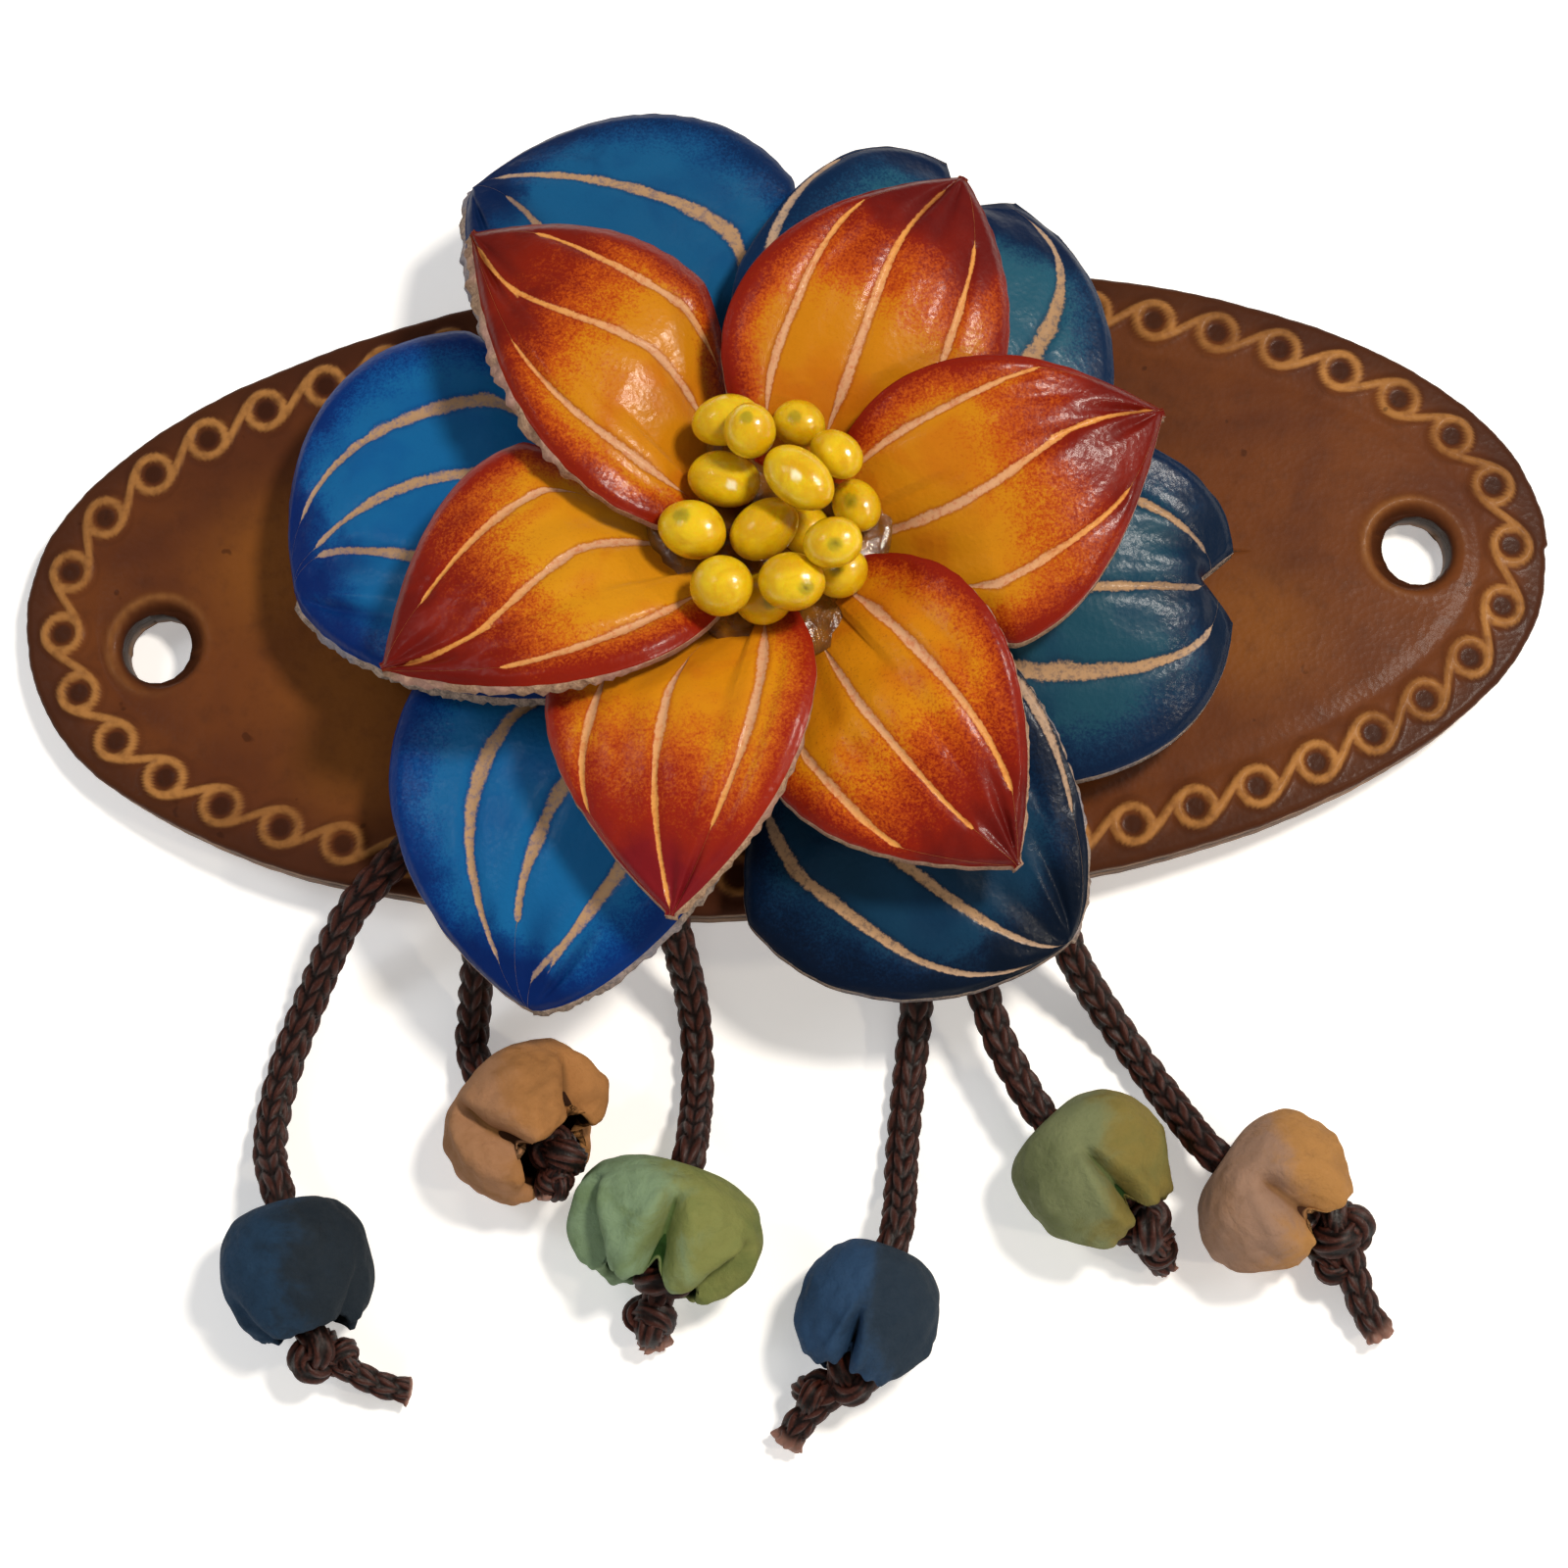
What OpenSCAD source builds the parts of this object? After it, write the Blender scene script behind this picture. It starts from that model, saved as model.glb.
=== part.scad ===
// Leather hair barrette: an arched oval slide with two stick holes, a leather flower
// and six braided cords with bud beads. It lies on its back with the flower up.
// X runs along the plate, -Y towards the beads, and the surface below is z = 0.

/* [Back plate] */
// Length of the oval slide, tip to tip
plate_length = 128.4; // [110:0.2:140]
// Half width of the slide above the line of its two tips
half_width_up = 26.5; // [24:0.1:30]
// Half width of the slide below the line of its two tips, on the beads' side
half_width_down = 28.9; // [24:0.1:30]
// Thickness of the slide's leather
plate_thick = 3.4; // [2.5:0.1:4]
// Height of the arch under the middle of the slide
arch_rise = 5; // [4:0.5:8]
// Line of the slide's two tips along Y
plate_y = -0.5; // [-2:0.05:2]

/* [Stick holes] */
// Diameter of the two holes that the hair stick goes through
hole_d = 6; // [5:0.2:7]
// Diameter of a hole's burnished rim at the upper face
rim_d = 7.4; // [6.4:0.2:8.4]
// Depth of the burnished rim
rim_depth = 0.9; // [0.4:0.1:1.2]
// Distance between the middles of the two holes
hole_spacing = 105.2; // [98:0.2:108]
// Distance of the holes' middle below the line of the tips
hole_low = 1.4; // [0:0.1:3]
// How far the left hole lies below that middle and the right one above it
hole_skew = 1.4; // [0:0.1:2]

/* [Scroll border] */
// Number of rings in the border
ring_count = 52; // [48:1:56]
// Distance of the ring centres from the slide's edge
ring_inset = 3.3; // [3:0.1:4]
// Outer diameter of a ring
ring_d = 3.9; // [3.4:0.1:4.2]
// Diameter of the pit inside a ring
pit_d = 2; // [1.6:0.1:2.4]
// Width of the stroke that joins a ring to the next one
stroke_w = 0.8; // [0.6:0.1:0.9]
// How far rings and strokes stand above the leather
relief = 0.4; // [0.3:0.05:0.6]

/* [Flower] */
// Middle of the flower along X
flower_x = -0.5; // [-1.5:0.1:0.5]
// Middle of the flower along Y
flower_y = -2.5; // [-4:0.1:-1]
// Thickness of the petals' leather, measured upright
petal_thick = 2; // [1.8:0.1:2.1]
// Distance of the petals' inner ends from the flower's axis
petal_start = 3; // [2.9:0.1:3.4]
// Rise of a petal across its width, for each degree round the flower
petal_ramp = 0.055; // [0.052:0.001:0.058]
// Depth of the carved veins
vein_depth = 0.45; // [0.2:0.05:0.6]
// Diameter of the leather seat under the petals
seat_d = 16; // [12:0.5:16]
// Height of the seat above the slide
seat_h = 2.9; // [2.5:0.1:2.9]
// Diameter of the stem that the petals close around
stem_d = 5.2; // [4:0.1:5.4]
// Height of the stem's top above the slide
stem_h = 14.2; // [13:0.1:14.3]

/* [Stamens] */
// Size of the pearl heads against their table
pearl_scale = 1; // [0.9:0.01:1]

/* [Cords and beads] */
// Diameter of the braided cords
cord_d = 2.8; // [2.4:0.1:2.8]
// Clearance of a cord in its bead's hole
cord_fit = 0.15; // [0.1:0.05:0.3]
// Length of the slits in a bead's mouth, against the bead's length
slit_length = 0.5; // [0.3:0.05:0.5]
// Size of the knots against their table
knot_scale = 1; // [0.9:0.01:1]

/* [Hidden] */
plate_top = arch_rise + plate_thick;
arch_r = (pow(plate_length / 2, 2) + pow(arch_rise, 2)) / (2 * arch_rise);
arch_z = arch_rise - arch_r;
hole_angle = asin(hole_spacing / 2 / arch_r);
outline_steps = 120;
border_steps = 360;
// Turn of the rings against the running line, which keeps their flats off the line of the bend.
ring_turn = 26;
stroke_gap = 0.15;
// Fullness of the oval in its four quarters, counter-clockwise from the upper right: 2 is an
// ellipse, and more is fuller.
oval_powers = [2.2, 2.1, 2.15, 2];

INNER = 0;
OUTER = 1;
// One row for each ring of petals: base height above the slide, rise, radius of full rise, crown,
// droop of the under edge, droop of the over edge, widest place, fullness of the base on the over
// edge and on the under edge, dip of the tip.
ring_rows = [
    [12.9, 5.0, 27, 3.8, 0.75, 0.12, 0.42, 2.4, 1.3, 0.0],
    [7.2, 1.5, 20, 3.2, 1.00, 0.15, 0.48, 1.7, 1.3, 1.5]
];
// One row for each petal, counter-clockwise: direction, reach, sideways sweep of the tip, width on
// the under edge, width on the over edge, bluntness of the tip, notch in the tip.
inner_rows = [
    [15, 31.8, 0, 14, 8, 1, 0],
    [64, 33, -2, 11, 10.5, 0.9, 0],
    [146, 34.2, -9, 13.5, 6.5, 1, 0],
    [201, 32.6, -2.5, 15, 6.7, 1, 0],
    [253, 31.6, -0.5, 14.5, 6.2, 1, 0],
    [307, 32.2, -3, 12.7, 8.2, 1, 0]
];
outer_rows = [
    [-4.5, 36.7, 0, 17.2, 11.5, 0.36, 2.8],
    [57.5, 37.2, 2.4, 18.5, 14, 0.36, 3.2],
    [137.3, 41, -9.2, 25, 6.2, 0.64, 0],
    [191, 38.6, -7.8, 25, 9.2, 0.52, 0],
    [241, 40.9, -2, 22, 7.9, 0.62, 0],
    [309, 38, -3.4, 20.4, 8.2, 0.58, 0]
];
petal_base_w = 0.1;
petal_tip_w = 0.035;
vein_places = [-0.5, 0, 0.5];
vein_reach = 0.12;
petal_stations = [0, 0.1, 0.2, 0.32, 0.44, 0.56, 0.68, 0.8, 0.9, 0.965, 1];
petal_across = [-1, -0.8, -0.62, -0.5, -0.38, -0.12, 0, 0.12, 0.38, 0.5, 0.62, 0.8, 1];

// One row for each pearl head: x, y, z, direction of its length, lean from upright, diameter, length.
pearl_rows = [
    [-4.3, 5.7, 28.9, 12, 78, 4, 5.4],
    [-2.3, 3.8, 32.2, 87, 40, 4, 4.3],
    [1.6, 5.3, 28.2, -23, 70, 3.7, 4.2],
    [4.2, 2.2, 30, -43, 75, 3.5, 4.6],
    [-4.7, 1.6, 27, -20, 80, 4.4, 5.8],
    [1.1, -0.2, 32.3, -45, 80, 4.3, 6.4],
    [5.6, -0.9, 26.5, -63, 70, 3.7, 4.6],
    [-7.3, -2.7, 28.1, -25, 78, 4.5, 5.6],
    [-1.7, -3, 27.8, 32, 80, 4.5, 5.7],
    [3.7, -5.7, 32.6, 2, 70, 3.9, 4.5],
    [-5.2, -7.8, 29.5, -3, 70, 4.6, 5],
    [0.4, -8, 30.3, -13, 75, 4.5, 5.3],
    [4.1, -6.5, 26.8, 27, 60, 3.8, 4.4],
    [-2.1, -8.1, 26.3, -3, 70, 4, 4.6],
    [1.6, -2.2, 24.8, -3, 20, 4, 4.2]
];
pearl_bands = 10;

// One row for each bead: x, y, heading, pitch of its mouth, length, width, height, slit turn, colour.
bead_rows = [
    [-42.1, -55.9, -78, 0, 10.9, 12.1, 11.6, 126, "steelblue"],
    [-23.4, -44.9, -48, 25, 9.6, 14.2, 11.8, 112, "tan"],
    [-12.3, -54.1, -110, 0, 10.2, 15.4, 12, 90, "yellowgreen"],
    [3.4, -61.6, -113, 0, 10.7, 11.3, 11.2, 84, "steelblue"],
    [22.2, -51.3, -50, 0, 11, 12.6, 12, 82, "yellowgreen"],
    [36.3, -54, -38, 0, 9.8, 13.8, 12, 92, "tan"]
];
// One row for each knot: place and diameter of its main lump and of its second lump, and place and
// diameter of the end of the cord's short tail.
knot_rows = [
    [[-40.8, -63.1, 4.6], 4.4, [-39, -62.9, 3.8], 3.2, [-34.3, -65.4, 1.6], 2.2],
    [[-20.2, -48.6, 7.6], 4.4, [-21, -50.2, 7.3], 2.8, [-21.6, -51, 7], 1.8],
    [[-12.9, -58, 5.7], 4.8, [-14.1, -61.1, 3], 4.2, [-13.7, -62.6, 1.8], 2.6],
    [[1.7, -67.1, 5.2], 4.4, [-1.2, -67.6, 3.6], 3.6, [-3.2, -71, 1.8], 2.6],
    [[26.2, -56.5, 5.2], 4.4, [27, -57.3, 3.8], 3.4, [27.6, -58.5, 1.8], 2.4],
    [[42.2, -57.3, 5], 4.8, [40.9, -59.3, 3.4], 3.6, [44.4, -64.7, 1.8], 2.6]
];
// Wall profile of a bead from its hole over the outside to the mouth and back inside: share of the
// length and radius on a bead 12 mm across. A radius of 0 stands for the cord's hole.
bead_profile = [
    [0, 0], [0.08, 4.1], [0.22, 5.4], [0.42, 6], [0.64, 5.9], [0.86, 5.2], [1, 4.1], [0.97, 3.2],
    [0.8, 3.9], [0.5, 4.2], [0.3, 3.4], [0.18, 0]
];
bead_d = 12;
bead_lobes = 5;
// One row for each column of a lobe: turn and share of the slit's length that it draws back.
lobe_rows = [[0, 1], [6, 0.2], [22, 0], [50, 0], [66, 0.2]];
slit_start = 0.42;
slit_pinch = 0.06;

// Points of each cord from its seat under the flower to its bead. A point without a height lies on
// the slide.
cord_routes = [
    [[-9.4, -7.7], [-15.2, -11.3], [-21, -15], [-26.8, -18.9], [-31.4, -22.3], [-34.4, -24.9],
     [-36.9, -27.4, 7.6], [-39, -30.3, 5], [-41, -33.7, 2.5], [-42.9, -37.9, 1.5], [-44.2, -42.3, 1.5],
     [-44.4, -46.3, 3.3]],
    [[-7.9, -10.4], [-12.4, -14], [-17, -17.5], [-21, -21.4], [-24.2, -25.3], [-25.6, -28.3, 9.3],
     [-26.4, -30.9, 8], [-27, -33.3, 5.6], [-27.5, -35.7, 3.1], [-27.8, -38.1, 2]],
    [[-4.6, -11.9], [-6.6, -15.7], [-8.4, -19.5], [-9.8, -23.3], [-10.6, -26.7], [-10.6, -29.7, 9.9],
     [-10.2, -32.1, 7.9], [-9.7, -34.5, 4.6], [-9.4, -37.3, 2.2], [-9.4, -40.7, 1.5],
     [-9.6, -43.7, 2.1], [-9.9, -46.1, 4]],
    [[2, -12.3], [4.6, -16.1], [6.8, -19.9], [8.4, -23.9], [9.2, -27.1], [9.4, -29.9, 9.9],
     [9.3, -32.5, 7.7], [9, -35.1, 4.6], [8.6, -38.1, 2.1], [7.9, -42.3, 1.5], [7, -48.1, 1.5],
     [6.5, -52.5, 3.2]],
    [[5.6, -10.1], [8.4, -14.3], [10.8, -18.5], [12.4, -22.5], [13.3, -26.1], [13.6, -29.5, 9.8],
     [13.7, -32.5, 8.8], [13.9, -35.5, 7.7], [14.6, -38.5, 6.8], [15.7, -41.7, 6.3]],
    [[8.2, -7.5], [11.8, -11.7], [15, -16.1], [17.6, -20.7], [19, -24.9], [19.8, -28.5, 9.8],
     [20.5, -31.3, 8.9], [21.6, -34.1, 6.8], [23.4, -36.9, 4], [26, -40.7, 1.8], [28.2, -44.3, 2],
     [29.8, -47.3, 4]]
];
cord_sides = 8;
cord_gap = 0.1;
lump_share = 0.88;

slide_brown = [0.43, 0.25, 0.12];

function power(v, p) = sign(v) * pow(abs(v), p);
function clamp(v, lo, hi) = min(max(v, lo), hi);

// A point of the slide's outline, moved in by inset, at an angle.
function oval_point(inset, angle) =
    let (turn = angle % 360,
         share = 2 / oval_powers[floor(turn / 90)],
         half = (turn < 180 ? half_width_up : half_width_down) - inset)
    [(plate_length / 2 - inset) * power(cos(turn), share), plate_y + half * power(sin(turn), share)];
function oval(steps) = [for (i = [0:steps - 1]) oval_point(0, 360 * i / steps)];

// Height of the slide's upper face at x.
function face_z(x) = arch_z + sqrt(pow(arch_r + plate_thick, 2) - x * x);

// Running length along the oval of the ring centres, as [length, angle] rows.
function border_table(i = 0, run = 0) =
    i > border_steps ? [] :
    let (here = oval_point(ring_inset, 360 * i / border_steps),
         after = oval_point(ring_inset, 360 * (i + 1) / border_steps))
    concat([[run, 360 * i / border_steps]], border_table(i + 1, run + norm(after - here)));
border = border_table();
border_length = border[border_steps][0];
function ring_centre(k) =
    oval_point(ring_inset, lookup((k % ring_count) * border_length / ring_count, border));

// Puts a stamped shape on the arched face at a point.
module on_face(p) {
    translate([p[0], p[1], face_z(p[0])])
        rotate([0, asin(p[0] / (arch_r + plate_thick)), 0])
            translate([0, 0, -relief])
                linear_extrude(2 * relief)
                    children();
}

// A stroke from the outer side of one ring to the inner side of the next, short of its rim.
module stroke(gap) {
    ring_r = (ring_d + pit_d) / 4;
    steps = 9;
    line = [for (i = [0:steps])
        let (t = i / steps, ease = t * t * (3 - 2 * t))
        [gap * t - ring_r * 0.38 * sin(180 * t), ring_r * (2 * ease - 1)]];
    side = [for (i = [0:steps])
        let (a = line[max(i - 1, 0)], b = line[min(i + 1, steps)], d = (b - a) / norm(b - a))
        [-d[1], d[0]] * stroke_w / 2];
    polygon(concat([for (i = [0:steps]) line[i] + side[i]],
                   [for (i = [steps:-1:0]) line[i] - side[i]]));
}

module scroll_border() {
    for (k = [0:ring_count - 1]) {
        here = ring_centre(k);
        step = ring_centre(k + 1) - here;
        on_face(here)
            rotate(atan2(step[1], step[0]))
                difference() {
                    union() {
                        rotate(ring_turn)
                            circle(d = ring_d, $fn = 12);
                        difference() {
                            stroke(norm(step));
                            translate([norm(step), 0])
                                rotate(ring_turn)
                                    circle(d = ring_d + 2 * stroke_gap, $fn = 12);
                        }
                    }
                    rotate(ring_turn)
                        circle(d = pit_d, $fn = 12);
                }
    }
}

// A stick hole with its burnished rim, cut downwards from the slide's upper face.
module hole() {
    slope = (rim_d - hole_d) / 2 / rim_depth;
    rotate_extrude($fn = 64)
        polygon([[0, -2 * plate_thick], [hole_d / 2, -2 * plate_thick], [hole_d / 2, -rim_depth],
                 [rim_d / 2 + slope, 1], [0, 1]]);
}

module base_plate() {
    color(slide_brown)
        difference() {
            union() {
                intersection() {
                    linear_extrude(2 * plate_top)
                        polygon(oval(outline_steps));
                    translate([0, plate_length / 2, arch_z])
                        rotate([90, 0, 0])
                            difference() {
                                cylinder(r = arch_r + plate_thick, h = plate_length, $fn = 1440);
                                translate([0, 0, -1])
                                    cylinder(r = arch_r, h = plate_length + 2, $fn = 1440);
                            }
                }
                scroll_border();
            }
            for (side = [-1, 1])
                translate([0, plate_y - hole_low + side * hole_skew, arch_z])
                    rotate([0, side * hole_angle, 0])
                        translate([0, 0, arch_r + plate_thick])
                            hole();
        }
}

// The seat glued to the slide, and the stem that the petals close around.
module flower_core() {
    color("sienna")
        translate([flower_x, flower_y, plate_top + 0.1]) {
            cylinder(d = seat_d, h = seat_h - 0.1, $fn = 64);
            cylinder(d = stem_d, h = stem_h - 0.1, $fn = 48);
        }
}

// Share of a petal's full width at s along it, on its over edge (u > 0) or its under edge.
function petal_width(ring, row, s, u) =
    let (m = ring[6], fullness = u < 0 ? ring[8] : ring[7])
    max(petal_tip_w, s < m
        ? 1 - (1 - petal_base_w) * pow((m - s) / m, fullness)
        : pow(max(0, 1 - pow((s - m) / (1 - m), 2)), row[5]));

// Depth of the carved veins at u across a petal.
function vein_dent(u) = vein_depth * max([for (v = vein_places) 1 - abs(u - v) / vein_reach, 0]);

// A point of a petal's upper face, s along it and u across it.
function petal_point(ring, row, s, u) =
    let (w = petal_width(ring, row, s, u),
         along = petal_start + (row[1] - petal_start) * s
             - row[6] * (1 - (s < 1 ? abs(u) : 0)) * pow(s, 12),
         across = row[2] * s * s + u * w * (u < 0 ? row[3] : row[4]),
         x = along * cos(row[0]) - across * sin(row[0]),
         y = along * sin(row[0]) + across * cos(row[0]),
         r = norm([x, y]),
         turn = atan2(across, along),
         droop = u < 0 ? ring[4] : ring[5],
         rise = ring[1] * sin(90 * clamp((r - 4) / (ring[2] - 4), 0, 1.5)),
         crown = ring[3] * pow(w, 1.5) * (1 - droop * u * u),
         vein = vein_dent(u) * clamp(8 * s, 0, 1) * clamp(12 * (1 - s), 0, 1))
    [flower_x + x, flower_y + y,
     plate_top + ring[0] + rise + crown + petal_ramp * turn - ring[9] * pow(s, 6) - vein];

// One petal: its upper face, its lower face and the cut edge between them.
module petal(ring, row) {
    ns = len(petal_stations);
    nu = len(petal_across);
    top = [for (s = petal_stations) for (u = petal_across) petal_point(ring, row, s, u)];
    low = [for (p = top) p - [0, 0, petal_thick]];
    n = ns * nu;
    rim = concat([for (j = [0:nu - 1]) j],
                 [for (i = [1:ns - 1]) i * nu + nu - 1],
                 [for (j = [nu - 2:-1:0]) (ns - 1) * nu + j],
                 [for (i = [ns - 2:-1:1]) i * nu]);
    polyhedron(concat(top, low), concat(
        [for (i = [0:ns - 2]) for (j = [0:nu - 2]) let (a = i * nu + j)
            each [[a, a + 1, a + nu + 1], [a, a + nu + 1, a + nu]]],
        [for (i = [0:ns - 2]) for (j = [0:nu - 2]) let (a = n + i * nu + j)
            each [[a, a + nu + 1, a + 1], [a, a + nu, a + nu + 1]]],
        [for (k = [0:len(rim) - 1]) let (a = rim[k], b = rim[(k + 1) % len(rim)])
            each [[a, n + a, n + b], [a, n + b, b]]]
    ));
}

module outer_petal(i) {
    color([0.05, 0.34, 0.62])
        petal(ring_rows[OUTER], outer_rows[i - 1]);
}

module inner_petal(i) {
    color([0.85, 0.42, 0.1])
        petal(ring_rows[INNER], inner_rows[i - 1]);
}

// A pearl head: an oval turned about its own length.
module stamen(i) {
    row = pearl_rows[i - 1];
    color("gold")
        translate([row[0], row[1], row[2]])
            rotate([0, row[4], row[3]])
                rotate_extrude($fn = 40)
                    polygon([for (k = [0:pearl_bands]) let (a = 90 - 180 * k / pearl_bands)
                        pearl_scale / 2 * [row[5] * cos(a), row[6] * sin(a)]]);
}

// A tube of round section along a route.
module tube(route, d) {
    n = len(route);
    frames = [for (i = [0:n - 1])
        let (t = route[min(i + 1, n - 1)] - route[max(i - 1, 0)],
             ahead = t / norm(t),
             side = cross([0, 0, 1], ahead) / norm(cross([0, 0, 1], ahead)))
        [side, cross(ahead, side)]];
    points = [for (i = [0:n - 1]) for (k = [0:cord_sides - 1])
        let (a = 360 * (k + 0.5) / cord_sides)
        route[i] + d / 2 * (cos(a) * frames[i][0] + sin(a) * frames[i][1])];
    polyhedron(points, concat(
        [[for (k = [0:cord_sides - 1]) k]],
        [[for (k = [cord_sides - 1:-1:0]) (n - 1) * cord_sides + k]],
        [for (i = [0:n - 2]) for (k = [0:cord_sides - 1])
            let (a = i * cord_sides + k, b = i * cord_sides + (k + 1) % cord_sides)
            each [[a, a + cord_sides, b + cord_sides], [a, b + cord_sides, b]]]
    ));
}

// Height of a bead's middle, and the direction from its hole to its mouth.
function bead_place(row) = [row[0], row[1], row[6] / 2 + 0.1];
function bead_ahead(row) =
    [cos(row[2]) * cos(row[3]), sin(row[2]) * cos(row[3]), sin(row[3])];

// A route with each point's height, carried on through the bead to its knot.
function full_route(i) =
    let (row = bead_rows[i - 1],
         knot = knot_rows[i - 1],
         middle = bead_place(row),
         ahead = bead_ahead(row),
         end = norm(knot[0] - middle) - knot_scale * knot[1] / 2 - 0.3)
    concat([for (p = cord_routes[i - 1])
                len(p) == 3 ? p : [p[0], p[1], face_z(p[0]) + relief + cord_d / 2 + cord_gap]],
           [middle - (row[4] / 2 + 1) * ahead,
            middle - (row[4] / 2 - 2.6) * ahead,
            middle + end * ahead]);

module cord(i) {
    color([0.24, 0.14, 0.1])
        tube(full_route(i), cord_d);
}

// A bead: a hollow leather bud, split at its mouth into lobes by slits.
module bud_bead(i) {
    row = bead_rows[i - 1];
    columns = [for (l = [0:bead_lobes - 1]) for (c = lobe_rows) [l * 360 / bead_lobes + c[0], c[1]]];
    nr = len(bead_profile);
    nt = len(columns);
    points = [for (p = bead_profile) for (c = columns)
        let (past = max(0, p[0] - slit_start),
             along = p[0] - c[1] * past * slit_length / (1 - slit_start),
             pinch = 1 - c[1] * slit_pinch * (past > 0 ? 1 : 0),
             hole = p[1] == 0,
             r = hole ? cord_d / 2 + cord_fit : p[1] * pinch,
             a = c[0] + row[7])
        [row[4] * (along - 0.5),
         r * (hole ? 1 : row[5] / bead_d) * cos(a),
         r * (hole ? 1 : row[6] / bead_d) * sin(a)]];
    color(row[8])
        translate(bead_place(row))
            rotate([0, -row[3], row[2]])
                polyhedron(points, [for (i = [0:nr - 1]) for (k = [0:nt - 1])
                    let (a = i * nt + k, b = i * nt + (k + 1) % nt,
                         c = (i + 1) % nr * nt + k, d = (i + 1) % nr * nt + (k + 1) % nt)
                    each [[a, b, d], [a, d, c]]]);
}

// A round rod from a to b.
module rod(a, b, d) {
    v = b - a;
    translate(a)
        rotate([0, acos(v[2] / norm(v)), atan2(v[1], v[0])])
            cylinder(d = d, h = norm(v), $fn = 7);
}

// A lump with flat facets, turned.
module lump(p, d, turn) {
    translate(p)
        rotate([turn, turn / 2, 0])
            intersection_for(n = [0:2])
                rotate([n == 1 ? 90 : 0, n == 2 ? 90 : 0, 0])
                    cylinder(d = lump_share * d, h = lump_share * d, center = true, $fn = 8);
}

// A knot at a bead's mouth: two lumps and the cord's short tail, which falls to the surface.
module knot(i) {
    row = knot_rows[i - 1];
    color([0.24, 0.14, 0.1]) {
        lump(row[0], knot_scale * row[1], 20);
        lump(row[2], knot_scale * row[3], 65);
        lump(row[4], 1.16 * row[5], 40);
        rod(row[0], row[4], row[5]);
    }
}

base_plate();
flower_core();
for (i = [1:6]) outer_petal(i);
for (i = [1:6]) inner_petal(i);
for (i = [1:len(pearl_rows)]) stamen(i);
for (i = [1:6]) cord(i);
for (i = [1:6]) bud_bead(i);
for (i = [1:6]) knot(i);
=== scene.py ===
"""Looks of the leather hair slide: tooled plate, layered flower, braided cords and bud beads."""
import math

import bmesh
import bpy
import numpy as np
from mathutils import Matrix, Vector


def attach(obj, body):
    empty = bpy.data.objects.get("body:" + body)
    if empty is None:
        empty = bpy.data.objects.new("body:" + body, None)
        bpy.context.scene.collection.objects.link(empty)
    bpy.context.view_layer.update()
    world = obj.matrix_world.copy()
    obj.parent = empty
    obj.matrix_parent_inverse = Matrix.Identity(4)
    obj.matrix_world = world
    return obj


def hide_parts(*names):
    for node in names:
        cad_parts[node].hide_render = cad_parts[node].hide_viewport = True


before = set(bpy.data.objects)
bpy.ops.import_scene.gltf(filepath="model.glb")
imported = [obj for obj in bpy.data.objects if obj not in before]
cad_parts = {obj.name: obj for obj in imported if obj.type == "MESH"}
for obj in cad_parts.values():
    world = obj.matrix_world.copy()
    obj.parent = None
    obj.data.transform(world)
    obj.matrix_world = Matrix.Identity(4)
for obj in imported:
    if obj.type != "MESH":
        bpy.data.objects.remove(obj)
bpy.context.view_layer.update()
MM = 0.001
MM_PER_M = 1000.0

# Sizes shared with the solids, in millimetres.
PLATE_LENGTH = 128.4
HALF_UP = 26.5
HALF_DOWN = 28.9
PLATE_THICK = 3.4
ARCH_RISE = 5.0
PLATE_Y = -0.5
PLATE_TOP = ARCH_RISE + PLATE_THICK
ARCH_R = ((PLATE_LENGTH / 2) ** 2 + ARCH_RISE**2) / (2 * ARCH_RISE)
ARCH_Z = ARCH_RISE - ARCH_R
# Powers of the plate's oval outline in its four quarters, from the upper right round to the lower right.
OVAL_POWERS = np.array([2.2, 2.1, 2.15, 2.0])
# The stamped border: its rings, and the strokes between them before they are stretched to fit.
RING_COUNT = 52
RING_INSET = 3.3
RING_R = 1.5
RING_WIDTH = 0.42
STROKE_WIDTH = 0.4
STROKE_GAP = 5.8
STROKE_STEPS = 12
RELIEF = 0.4
# The sunk middle of a ring, its flat floor, and the darker ground round the ring.
PIT_R = 1.05
PIT_FLOOR_R = 0.6
GROUND_R = 2.35
FLOWER = np.array([-0.5, -2.5])
HOLES = [(-52.6, -3.3), (52.6, -0.5)]
HOLE_R = 3.0
CORD_D = 2.8


def face_z(x):
    """Height of the plate's upper face at x."""
    return ARCH_Z + np.sqrt((ARCH_R + PLATE_THICK) ** 2 - np.asarray(x) ** 2)


# Camera: the photograph is taken from 13 degrees off the vertical, turned by 3 degrees.
ELEVATION = math.radians(77)
ROLL = math.radians(3)
TARGET = Vector((-1.103, -18.741, 8.4)) * MM
DISTANCE = 300 * MM
LENS = 84.375
SENSOR = 36


def put_in_scene(name, data):
    obj = bpy.data.objects.new(name, data)
    bpy.context.scene.collection.objects.link(obj)
    return obj


def make_camera():
    data = bpy.data.cameras.new("camera")
    data.sensor_width = SENSOR
    data.lens = LENS
    data.clip_start = 0.01
    obj = put_in_scene("camera", data)
    turn = Matrix.Rotation(math.pi / 2 - ELEVATION, 4, "X") @ Matrix.Rotation(-ROLL, 4, "Z")
    obj.matrix_world = Matrix.Translation(TARGET) @ turn @ Matrix.Translation((0, 0, DISTANCE))
    bpy.context.scene.camera = obj


make_camera()


# Numpy helpers.
def smooth(x, lo=0.0, hi=1.0):
    t = np.clip((np.asarray(x, float) - lo) / (hi - lo), 0, 1)
    return t * t * (3 - 2 * t)


def bell(x, width):
    return np.exp(-((np.asarray(x, float) / width) ** 2))


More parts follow.
